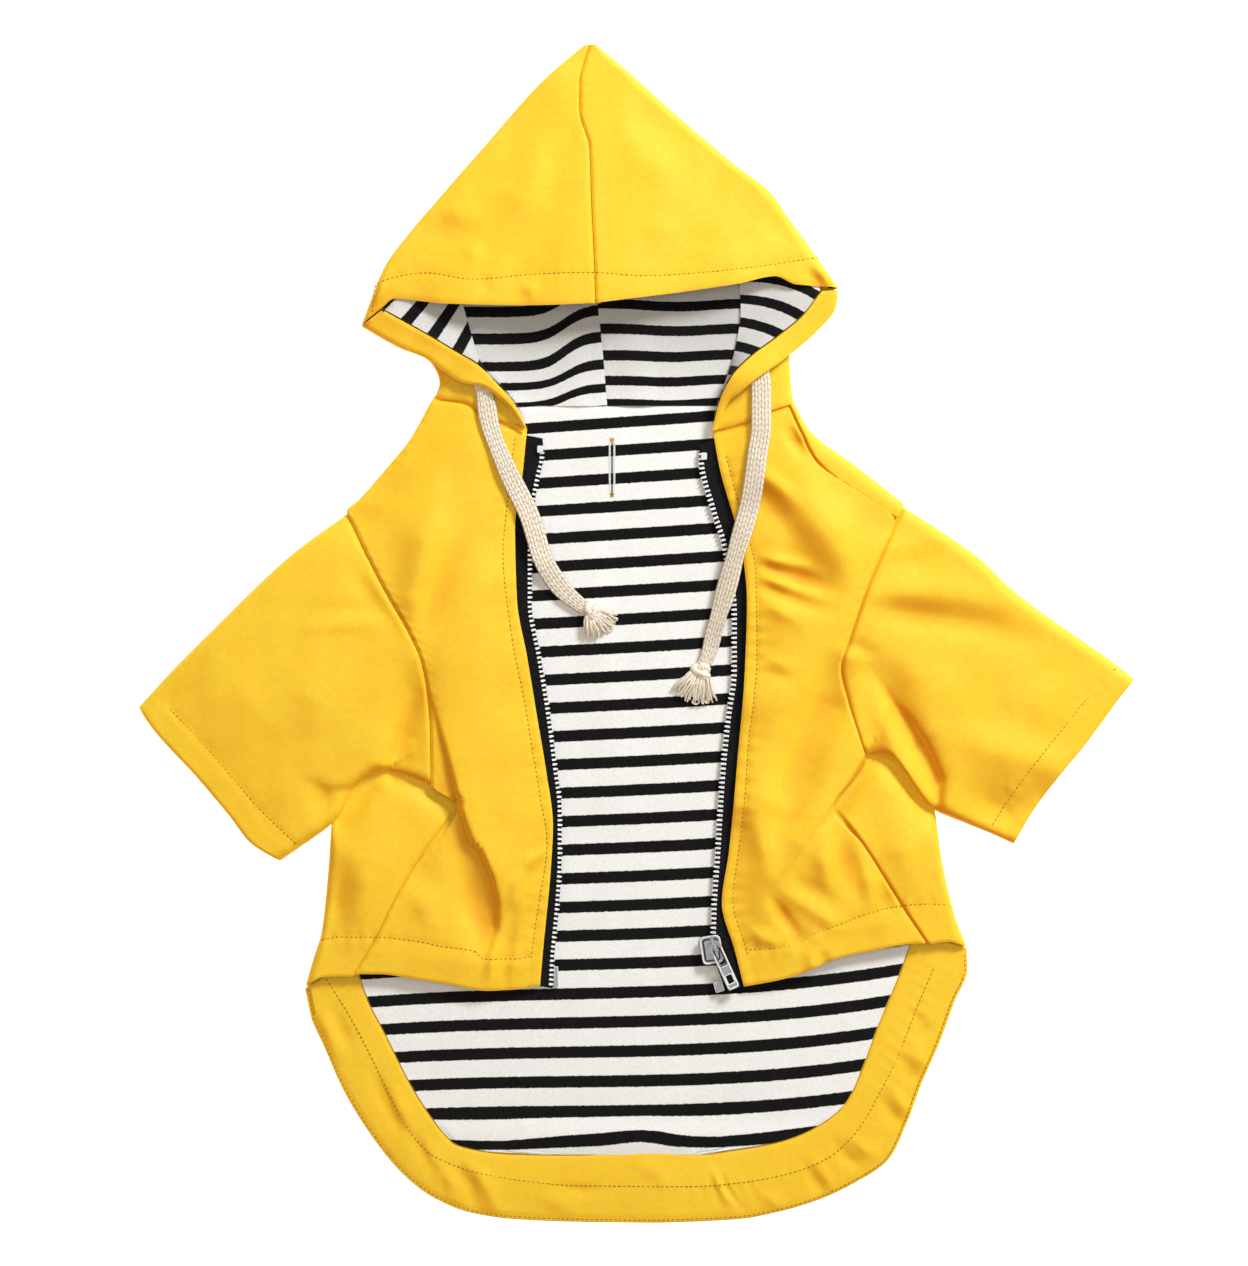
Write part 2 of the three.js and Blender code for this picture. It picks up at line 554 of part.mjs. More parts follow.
// Hood halves: the top layer from the point to the mouth, turned under at the slope,
// with the cheek that hangs open beside the neck, all joined by the flat underside
function hoodHalf(side, slope, mouth, cheekOut, cheekIn, neck) {
  const gap = [side * seamGap / 2, 0];
  const down = [0, 0.05, 0.12, 0.2, 0.3, 0.4, 0.5, 0.6, 0.7, 0.8, 0.88, 0.95, 1];
  const centre = line(hoodCentre, 'length', gap);
  const edge = line(slope);
  const tip = (s) => [0, 1].map((k) => (1 - s) * centre(0)[k] + s * edge(0)[k]);
  const mouthLine = line([...mouth].reverse().map((p, i) => (i === 0 ? { x: p.x + gap[0], y: p.y } : p)));
  const upper = patch(tip, mouthLine, centre, edge);
  const cap = foldedLayer(upper, steps(7), [1, 0.75], down, shellWall);
  const corner = (s) => [0, 1].map((k) => (1 - s) * line(cheekIn)(0)[k] + s * line(cheekOut)(0)[k]);
  const neckEdge = line([...neck].reverse(), 'length', [0, seamGap]);
  const cheekPlan = patch(corner, neckEdge, line(cheekIn), line(cheekOut));
  const cheek = foldedLayer(cheekPlan, steps(3), [1, 0.5], steps(9), shellWall, neckLow);
  const low = [
    ...trace(centre, 8, 0.03),
    [centre(1)[0], neckLow],
    [neckEdge(1)[0] - side * 2.5, neckLow],
    ...trace(line(cheekOut), 9).reverse().map(([x, y]) => [x - side * 2.5, y]),
    ...trace(edge, 14, 0.04).reverse().map(([x, y]) => [x - side * 1.5, y - 1]),
  ];
  return join(plate(low, 0, shellWall), cap, cheek);
}
const neckLow = 110.75;
add('hood_left', hoodHalf(-1, hoodSlopeLeft, mouthLeft, cheekOutLeft, cheekInLeft, neckLeft), 'shell');
add('hood_right', hoodHalf(1, hoodSlopeRight, mouthRight, cheekOutRight, cheekInRight, neckRight), 'shell');

// Yellow casing that shows on the turned cheeks; it rises where the drawcord comes out
function band(up, low, exit) {
  const rows = steps(12, 0.02, 1).map((t) => steps(3).map((s) => {
    const a = line(low)(t);
    const b = line(up)(t);
    const x = a[0] + s * (b[0] - a[0]);
    const y = a[1] + s * (b[1] - a[1]);
    const lift = bandLift * Math.exp(-((t - exit) ** 2) / (2 * 0.16 ** 2));
    return [x, y, topHeight(x, y) + bandClear + foldedWall + lift];
  }));
  const inner = rows.map((row) => row.map(([x, y, z]) => [x, y, z - foldedWall]));
  return wallBetween(rows, inner);
}
const bandClear = 0.7;
const bandLift = 3.4;
add('hood_facing_left', band(bandUpLeft, bandLowLeft, 0.72), 'shell');
add('hood_facing_right', band(bandUpRight, bandLowRight, 0.66), 'shell');

// Striped hood lining: the deep part on the underside, and a strip up each cheek
const hoodLiningTop = 196.75;
const neckSeamY = 114.25;
function deepLining(side, valley) {
  const centre = line(hoodCentre);
  const edge = trace(line(valley), 8).map(([x, y]) => [x - side * 0.8, y]);
  const mid = [[-20 + side * 0.15, hoodLiningTop], [-20 + side * 0.15, 166.75], [-17 + side * 0.15, 138.75], [-15 + side * 0.15, neckSeamY + 0.3]];
  const wide = side * 52 + centre(0.8)[0];
  return plate([...mid, [edge[8][0], neckSeamY + 0.3], ...edge.slice().reverse(), [wide, hoodLiningTop]], liningZ, liningWall);
}
add('hood_lining_left', deepLining(-1, valleyLeft), 'lining');
add('hood_lining_right', deepLining(1, valleyRight), 'lining');

function cheekLining(side, up, valley, exit) {
  const outer = steps(10, 0.05, 0.93).map((t) => steps(4).map((s) => {
    const a = line(up, 'length', [-side * 0.5, 0.5])(t);
    const b = line(valley)(t);
    const x = a[0] + s * (b[0] - a[0]);
    const y = a[1] + s * (b[1] - a[1]);
    const lift = bandLift * Math.exp(-((t - exit) ** 2) / (2 * 0.16 ** 2));
    const high = topHeight(...a) + bandClear + foldedWall + lift - 0.4;
    const low = liningTop + liningWall + 0.5;
    return [x, y, low + (high - low) * (1 - s) ** 1.2];
  }));
  const inner = outer.map((row) => row.map(([x, y, z]) => [x, y, z - liningWall]));
  return wallBetween(outer, inner);
}
add('cheek_lining_left', cheekLining(-1, bandUpLeft, valleyLeft, 0.72), 'lining');
add('cheek_lining_right', cheekLining(1, bandUpRight, valleyRight, 0.66), 'lining');

// Fronts: from the neck seam to the hem, between the armhole and side seams and the zip
function frontGrid(outer, inner, neck, hem) {
  const plan = patch(line(neck), line(hem), line(outer, 'y'), line(inner, 'y'));
  return raised(plan, steps(12), steps(25));
}
const shiftBy = (rows, dx, dy) => rows.map((r) => ({ x: r.x + dx, y: r.y + dy }));
const frontLeft = frontGrid(frontOutLeft, frontInLeft, shiftBy(neckLeft, 0, -0.4), frontHemLeft);
const frontRight = frontGrid(frontOutRight, frontInRight, shiftBy(neckRight, 0, -0.4), frontHemRight);
const roomLeft = footprint(frontLeft, seamGap);
const roomRight = footprint(frontRight, seamGap);
add('front_left', cloth(frontLeft, shellWall), 'shell');
add('front_right', cloth(frontRight, shellWall), 'shell');

// Sleeves: short flattened tubes, open at the cuff
const sleeveStations = [0, 0.06, 0.15, 0.28, 0.42, 0.56, 0.7, 0.84, 0.93, 1];
function sleeveOf(side, armhole, top, low, cuff) {
  const shift = [side * 0.45, 0];
  const plan = patch(line(armhole, 'length', shift), line(cuff), line(top, 'length', shift), line(low, 'length', shift));
  return sleeve(plan, steps(11), sleeveStations, shellWall);
}
add('sleeve_left', sleeveOf(-1, armholeLeft, sleeveTopLeft, sleeveLowLeft, cuffLeft), 'shell');
add('sleeve_right', sleeveOf(1, armholeRight, sleeveTopRight, sleeveLowRight, cuffRight), 'shell');

// Back: the flat underside, the sides that wrap forward to the side seams,
// and the strip that wraps over one shoulder
function sidePanel(fold, seam, underarm, hem) {
  const plan = patch(line(underarm, 'length', [0, -0.5]), line(hem), line(seam), line(fold));
  return foldedLayer(plan, steps(6), [1, 0.6], steps(9), shellWall);
}
const sideLeft = sidePanel(sideFoldLeft, sideSeamLeft, underarmLeft, sideHemLeft);
const sideRight = sidePanel(sideFoldRight, sideSeamRight, underarmRight, sideHemRight);
const between = (a, b, t) => (s) => [0, 1].map((k) => (1 - s) * line(a)(t)[k] + s * line(b)(t)[k]);
const shoulderPlan = patch(
  between(shoulderSeam, shoulderFold, 0),
  between(shoulderSeam, shoulderFold, 1),
  line(shoulderSeam),
  line(shoulderFold, 'length', [0, -0.4]),
);
const shoulder = foldedLayer(shoulderPlan, steps(3), [1, 0.4], steps(6, 0.022, 1), shellWall);
const armholeInLeft = trace(line(armholeLeft, 'length', [0.6, 0]), 8);
const armholeInRight = trace(line(armholeRight, 'length', [-0.6, 0]), 8);
const backOutline = [
  [-102, neckLow - 0.4],
  [-112, 98.75], [-125, 82.25], [-139, 66.75],
  ...armholeInLeft,
  ...trace(line(underarmLeft, 'length', [1, -0.5]), 6, 0.15, 1),
  ...trace(line(sideFoldLeft, 'length', [1.5, 0]), 4, 0.1, 1),
  ...trace(line(scoopLeft), 20),
  ...trace(line(scoopRight), 20).reverse().slice(1),
  ...trace(line(sideFoldRight, 'length', [-1.5, 0]), 4, 0.1, 1).reverse(),
  ...trace(line(underarmRight, 'length', [-1, -0.5]), 6, 0.3, 1).reverse(),
  ...armholeInRight.slice().reverse(),
  ...trace(line(shoulderFold, 'length', [-1.5, -1]), 4, 0.12, 1).reverse(),
  [79, neckLow - 0.4],
];
add('back_outer', join(
  plate(backOutline, 0, shellWall),
  cut(sideLeft, roomLeft),
  cut(sideRight, roomRight),
  cut(shoulder, roomRight),
), 'shell');

// Yellow facing inside the scooped hem
const joinLines = (a, b) => [...a, ...b.slice().reverse().slice(1)];
const scoopWhole = joinLines(scoopLeft, scoopRight);
const borderWhole = joinLines(borderLeft, borderRight);
const middle = [0, -175.75];
function facing() {
  const out = line(scoopWhole);
  const inn = line(borderWhole);
  const rows = steps(34).map((t) => {
    const a = out(t);
    const b = inn(t);
    const far = Math.hypot(a[0] - b[0], a[1] - b[1]);
    const from = t < 0.03 || t > 0.97 ? 3.4 : 1;
    return [from, far * 0.33, far * 0.66, far - 0.3].map((d, i) => (
      [a[0] + (b[0] - a[0]) * d / far, a[1] + (b[1] - a[1]) * d / far, facingTop + [0, 0.5, 0.5, 0][i]]));
  });
  const inner = rows.map((row) => row.map(([x, y, z]) => [x, y, z - facingWall]));
  return wallBetween(rows, inner);
}
add('hem_facing', facing(), 'shell');

// Striped lining of the back, seen between the fronts and in the scoop
const liningOutline = [
  [-68, neckSeamY - 0.3], [-93, 101.75], [-115.5, 76.75], [-125.5, 56.75],
  ...trace(line(shiftBy(armholeLeft, 12, 0)), 5, 0.2, 1),
  [-118, -98.25], [-135.5, -133.25],
  ...trace(line(borderWhole), 36).map(([x, y]) => inset([[x, y]], middle, 0.5)[0]),
  [134.5, -133.25], [117, -98.25],
  ...trace(line(shiftBy(armholeRight, -12, 0)), 5, 0.2, 1).reverse(),
  [112, 56.75], [97, 76.75], [77, 96.75], [57, neckSeamY - 0.3],
];
add('back_lining', plate(liningOutline, liningZ, liningWall), 'lining');

// Zip: two tapes under the edges of the fronts, end stops, pin, box, slider and tab
const teethLeft = table('x y', [
  [-47.5, 97.75], [-47, 88.75], [-49.5, 76.75], [-51.5, 64.75], [-53, 36.75], [-53, 15.25],
  [-48.5, -11.25], [-44, -39.25], [-40.5, -66.25], [-38, -88.25], [-38, -113.25], [-39.5, -138.25],
  [-42, -166.25], [-42.5, -177.75],
]);
const teethRight = table('x y', [
  [32.5, 94.75], [32.5, 87.25], [38.5, 61.75], [44, 44.25], [49, 9.75], [49, -18.25], [46, -42.75],
  [43.5, -67.25], [42, -88.25], [40.5, -113.25], [39, -134.75], [38.5, -153.25], [41, -165.75],
  [46, -178.75],
]);
const tapeEdge = 0.7;
const tapeUnder = 5;
function tape(side, teeth, frontIn) {
  const inner = line(teeth, 'y', [-side * tapeEdge, 0]);
  const outer = line(frontIn, 'y', [side * tapeUnder, 0]);
  const rows = steps(30).map((t) => {
    const a = inner(t);
    const b = outer(Math.max(t - 0.002, 0));
    return [0, 1].map((s) => [a[0] + s * (b[0] - a[0]), a[1] + s * (b[1] - a[1]), tapeTop]);
  });
  return wallBetween(rows, rows.map((row) => row.map(([x, y, z]) => [x, y, z - tapeWall])));
}
add('zip_tape_left', tape(-1, teethLeft, frontInLeft), 'tape');
add('zip_tape_right', tape(1, teethRight, frontInRight), 'tape');

// A small block with round edges, its long side along the direction given in plan
function block(length, width, z, high, at, along = [0, -1], corner = 0.6) {
  const shape = new THREE.Shape();
  const a = length / 2;
  const b = width / 2;
  shape.moveTo(-a + corner, -b);
  shape.lineTo(a - corner, -b);
  shape.quadraticCurveTo(a, -b, a, -b + corner);
  shape.lineTo(a, b - corner);
  shape.quadraticCurveTo(a, b, a - corner, b);
  shape.lineTo(-a + corner, b);
  shape.quadraticCurveTo(-a, b, -a, b - corner);
  shape.lineTo(-a, -b + corner);
  shape.quadraticCurveTo(-a, -b, -a + corner, -b);
  const geometry = new THREE.ExtrudeGeometry(shape, { depth: high, bevelEnabled: false, curveSegments: 3 });
  geometry.rotateZ(Math.atan2(along[1], along[0]));
  geometry.translate(at[0], at[1], z);
  return geometry;
}
const stop = { long: 3.6, wide: 3, high: 1.6 };
add('zip_stop_left', block(stop.long, stop.wide, tapeTop + seamGap, stop.high, [-48, 92.25]), 'metal');
add('zip_stop_right', block(stop.long, stop.wide, tapeTop + seamGap, stop.high, [34, 88.75]), 'metal');
const pin = { long: 10, wide: 2.2, high: 2.4 };
add('zip_pin', block(pin.long, pin.wide, liningTop + seamGap, pin.high, [-39.9, -171.75], [0.04, -1]), 'metal');
const box = { long: 5.4, wide: 4.6, high: 3.4 };
add('zip_box', block(box.long, box.wide, liningTop + seamGap, box.high, [41.5, -176.75], [0.3, -1]), 'metal');

// Slider: two plates round the tape, a post between them and an arch for the tab
const slider = { x: 37.75, y: -158.25, long: 14, wide: 10.5, plate: 1.1, low: 2.7, lowPlate: 0.6, top: 5.9 };
const sliderAlong = [0.16, -0.987];
const tab = { x: 39, y: -155.25, long: 25.4, wide: 6, thick: 1.4, bar: 1.6, slot: 10.2, slotWide: 2.8, axisZ: 8.4 };
const tabAlong = [0.414, -0.91];
const arch = { leg: 1.4, wide: 1.7, reach: 3.3, open: 9.8, thick: 1.2 };
const alongBy = (from, dir, far, side = 0) => [from[0] + dir[0] * far - dir[1] * side, from[1] + dir[1] * far + dir[0] * side];
const sliderMid = [slider.x, slider.y];
const sliderTop = slider.top + slider.plate;
const legHigh = arch.open - sliderTop + 0.2;
const archAt = [tab.x, tab.y];
const sliderSolid = join(
  block(slider.long, slider.wide, slider.low, slider.lowPlate, sliderMid, sliderAlong, 2.4),
  block(slider.long, slider.wide, slider.top, slider.plate, sliderMid, sliderAlong, 2.4),
  block(4, 2.4, slider.low, slider.top - slider.low + 0.4, alongBy(sliderMid, sliderAlong, -4.4, -2.6), sliderAlong, 0.8),
  block(9, 0.9, slider.low, 1.5, alongBy(sliderMid, sliderAlong, 2, -4.6), sliderAlong, 0.3),
  block(9, 0.9, slider.top - 1, 1.2, alongBy(sliderMid, sliderAlong, 2, -4.6), sliderAlong, 0.3),
  block(arch.leg, arch.wide, sliderTop - 0.2, legHigh + 0.4, alongBy(archAt, tabAlong, -arch.reach), tabAlong, 0.2),
  block(arch.leg, arch.wide, sliderTop - 0.2, legHigh + 0.4, alongBy(archAt, tabAlong, arch.reach), tabAlong, 0.2),
  block(2 * arch.reach + arch.leg, arch.wide, arch.open, arch.thick, archAt, tabAlong, 0.5),
);
add('slider', sliderSolid, 'metal');
const tabMid = alongBy(archAt, tabAlong, tab.long / 2 - tab.bar / 2 - 0.1);
const slotMid = alongBy(archAt, tabAlong, tab.bar / 2 + tab.slot / 2);
const windowMid = alongBy(archAt, tabAlong, tab.long - 6.2);
const tabLow = tab.axisZ - tab.thick / 2;
add('pull_tab', cut(
  block(tab.long, tab.wide, tabLow, tab.thick, tabMid, tabAlong, 1.2),
  block(tab.slot, tab.slotWide, tabLow - 1, tab.thick + 2, slotMid, tabAlong, 0.5),
  block(4.2, 3, tabLow - 1, tab.thick + 2, windowMid, tabAlong, 0.4),
), 'metal');

// Drawcords: flat braid from under each cheek, over the front and on to the lining
const cordLeft = table('x y', [
  [-77.5, 126.75], [-75.5, 118.75], [-73, 104.75], [-64.5, 82.25], [-53, 58.25], [-46, 36.25],
  [-36.5, 21.75], [-27, 13.75],
]);
const cordRight = table('x y', [
  [61.5, 131.75], [62.5, 120.75], [62.5, 103.75], [60.5, 89.25], [57.5, 67.75], [50, 40.25],
  [45, 21.75], [40, 4.25], [36, -11.25],
]);
const xAt = (curve, y) => steps(60).map((t) => curve(t)).reduce((a, b) => (Math.abs(b[1] - y) < Math.abs(a[1] - y) ? b : a))[0];
const zipLeft = line(frontInLeft, 'y');
const zipRight = line(frontInRight, 'y');
const teethHigh = 1.2;
function coatHeight(x, y) {
  const left = xAt(zipLeft, y);
  const right = xAt(zipRight, y);
  if (x < left + 1.2 || x > right - 1.2 || y > neckSeamY - 12) return topHeight(x, y);
  if (x < left + 11 || x > right - 11) return tapeTop + teethHigh;
  return liningTop;
}
const braid = table('u v', [
  [-0.5, 0.3], [-0.4, 0], [0.4, 0], [0.5, 0.3], [0.5, 0.7], [0.4, 1], [-0.4, 1], [-0.5, 0.7]]);
function drawcord(rows, end) {
  const curve = line(rows);
  const count = 22;
  const stations = steps(count).map((t) => {
    const p = curve(t);
    const ahead = curve(Math.min(t + 0.02, 1));
    const back = curve(Math.max(t - 0.02, 0));
    const far = Math.hypot(ahead[0] - back[0], ahead[1] - back[1]);
    const side = [-(ahead[1] - back[1]) / far, (ahead[0] - back[0]) / far];
    const wide = cordWide * (1 - 0.35 * Math.max(0, (t - 0.85) / 0.15));
    const over = (u) => coatHeight(p[0] + side[0] * u * wide, p[1] + side[1] * u * wide);
    const lean = over(0.5) - over(-0.5);
    const base = Math.max(...steps(6, -0.5, 0.5).map((u) => over(u) - lean * u)) + cordClear;
    return { p, side, wide, lean, base };
  });
  const near = (i, key, pick) => pick([-1, 0, 1].map((d) => stations[Math.min(Math.max(i + d, 0), count)][key]));
  const mean = (list) => list.reduce((a, b) => a + b) / list.length;
  const most = stations.map((_, i) => near(i, 'base', (list) => Math.max(...list)));
  const rings = stations.map((st, i) => {
    const base = mean([-1, 0, 1].map((d) => most[Math.min(Math.max(i + d, 0), count)]));
    const lean = near(i, 'lean', mean);
    const extra = Math.abs(lean - st.lean) / 2;
    return braid.map(({ u, v }) => [
      st.p[0] + st.side[0] * u * st.wide,
      st.p[1] + st.side[1] * u * st.wide,
      base + extra + lean * u + v * cordThick,
    ]);
  });
  const points = rings.flat();
  const n = braid.length;
  const faces = [];
  for (let i = 0; i < count; i += 1) {
    for (let j = 0; j < n; j += 1) {
      const k = (j + 1) % n;
      faces.push([i * n + j, i * n + k, (i + 1) * n + k], [i * n + j, (i + 1) * n + k, (i + 1) * n + j]);
    }
  }
  for (let j = 1; j < n - 1; j += 1) {
    faces.push([0, j + 1, j], [count * n, count * n + j, count * n + j + 1]);
  }
  return cut(meshOf(points, faces), end);
}

// A knot with the frayed end of the braid fanned out beyond it
function knotShape(knot, grow) {
  const geometry = new THREE.SphereGeometry(1, 12, 8);
  const spot = geometry.attributes.position;
  for (let i = 0; i < spot.count; i += 1) {
    const [x, y, z] = [spot.getX(i), spot.getY(i), spot.getZ(i)];
    const lump = 1 + 0.12 * Math.sin(3 * x + 2 * y) * Math.cos(2.5 * z + x);
    spot.setXYZ(i, x * lump * (knot.long / 2 + grow), y * lump * (knot.wide / 2 + grow), z * (knot.high / 2 + grow));
  }
  geometry.rotateZ(knot.turn);
  geometry.translate(knot.x, knot.y, knot.z);
  return geometry;
}
function strand(knot, i, count) {
  const spread = (i / (count - 1) - 0.5) * knot.fan;
  const angle = knot.turn + spread;
  const far = knot.fray * (0.82 + 0.18 * Math.cos(2.3 * i));
  const dir = [Math.cos(angle), Math.sin(angle)];
  const level = knot.z + (i % 2 ? 0.6 : -0.9);
  const ring = (d, half, z) => [
    [knot.x + dir[0] * d - dir[1] * half, knot.y + dir[1] * d + dir[0] * half, z - 0.45],
    [knot.x + dir[0] * d + dir[1] * half, knot.y + dir[1] * d - dir[0] * half, z - 0.45],
    [knot.x + dir[0] * d, knot.y + dir[1] * d, z + 0.6],
  ];
  const points = [...ring(2, 0.6, level), ...ring(far * 0.6, 0.6, level + 0.4), ...ring(far, 0.35, liningTop + 0.9 + (i % 3) * 0.5)];
  const faces = [[0, 2, 1], [6, 7, 8]];
  for (const r of [0, 3]) {
    for (let j = 0; j < 3; j += 1) {
      const k = (j + 1) % 3;
      faces.push([r + j, r + k, r + 3 + k], [r + j, r + 3 + k, r + 3 + j]);
    }
  }
  return meshOf(points, faces);
}
const strandCount = 13;
const knotLeft = { x: -22, y: 10.75, z: 5.9, long: 11, wide: 9, high: 6, turn: -0.42, fan: 1.5, fray: 18 };
const knotRight = { x: 32.5, y: -18.75, z: 5.9, long: 10, wide: 11, high: 6, turn: -2.0, fan: 1.35, fray: 18 };
for (const [name, knot] of [['left', knotLeft], ['right', knotRight]]) {
  const strands = steps(strandCount - 1, 0, strandCount - 1).map((i) => strand(knot, i, strandCount));
  add('knot_' + name, join(knotShape(knot, 0), ...strands), 'cord');
}
add('drawcord_left', drawcord(cordLeft, knotShape(knotLeft, seamGap)), 'cord');
add('drawcord_right', drawcord(cordRight, knotShape(knotRight, seamGap)), 'cord');

export default coat;
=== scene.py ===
"""A yellow dog raincoat laid flat on its back, hood up and zip open over a striped lining.

Working sizes are millimetres in the frame's own axes: +X right, +Y to the hood, +Z up.
"""
import math

import bmesh
import bpy
import numpy as np
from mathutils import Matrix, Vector
from mathutils.geometry import tessellate_polygon


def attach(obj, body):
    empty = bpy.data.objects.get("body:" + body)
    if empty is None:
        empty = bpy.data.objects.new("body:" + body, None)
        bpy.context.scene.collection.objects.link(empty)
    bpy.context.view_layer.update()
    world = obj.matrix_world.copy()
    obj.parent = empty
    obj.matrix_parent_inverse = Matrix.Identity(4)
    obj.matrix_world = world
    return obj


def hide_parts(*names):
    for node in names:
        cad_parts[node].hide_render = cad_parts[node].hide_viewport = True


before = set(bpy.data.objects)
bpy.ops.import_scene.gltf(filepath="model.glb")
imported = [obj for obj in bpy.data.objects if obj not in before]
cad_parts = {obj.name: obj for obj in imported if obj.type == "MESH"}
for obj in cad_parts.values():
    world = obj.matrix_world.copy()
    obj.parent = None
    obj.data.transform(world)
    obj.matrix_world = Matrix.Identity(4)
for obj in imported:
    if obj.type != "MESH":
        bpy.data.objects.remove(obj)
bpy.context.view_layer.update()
rng = np.random.default_rng(7)

MM = 0.001
CELL = 1.6
SHELL_WALL = 1.1
LINING_WALL = 0.9
UNDER_WALL = 1.2
FACING_WALL = 1.2
TAPE_WALL = 1.0
FOLD_RADIUS = 6.0
LOWEST_TOP = 3.2
LINING_LOW = 1.5
LINING_TOP = 2.5
FACING_TOP = 2.8
TAPE_TOP = 4.6
SEAM_GAP = 0.3
UNDER_LAP = 2.4
LAP_DROP = 2.3
NECK_LAP = 2.0
NECK_LOW = 110.75
NECK_SEAM_Y = 114.25
CUFF_HEM = 12.0
STRIPE = 14.4
STRIPE_FIRST = 106.75
BLACK_SHARE = 0.4
CREASE_GAIN = 1.5
FRONT_WIDE, FRONT_LONG = 88, 300
SLEEVE_WIDE, SLEEVE_LONG = 105, 127
HOOD_WIDE, HOOD_LONG = 100, 140
CHEEK_WIDE, CHEEK_LONG = 38, 75
HANDS = {"left": -1, "right": 1}

# Camera first: straight above, framed as the photograph
VIEW_HIGH = 1.8
VIEW_LEVEL = 0.008
VIEW_TALL = 0.633
camera_data = bpy.data.cameras.new("camera")
camera_data.sensor_fit = "VERTICAL"
camera_data.sensor_height = 24
camera_data.lens = 24 * VIEW_HIGH / VIEW_TALL
camera = bpy.data.objects.new("camera", camera_data)
camera.location = (-0.006, 0.00025, VIEW_HIGH + VIEW_LEVEL)
bpy.context.scene.collection.objects.link(camera)
bpy.context.scene.camera = camera

# Tables: a point is x and y in half millimetres from the photograph's top left corner, then its values
MIDDLE_X, MIDDLE_Y = 636, 633.5


def spot(word):
    x, y, *values = map(float, word.split(","))
    return ((x - MIDDLE_X) / 2, (MIDDLE_Y - y) / 2, *values)


def tables(text):
    found = {}
    for word in text.split():
        if word.endswith(":"):
            rows = found[word[:-1]] = []
        else:
            rows.append(spot(word))
    return found


def fold_lines(text):
    return [[spot(word) for word in fold.split()] for fold in text.split(";")]


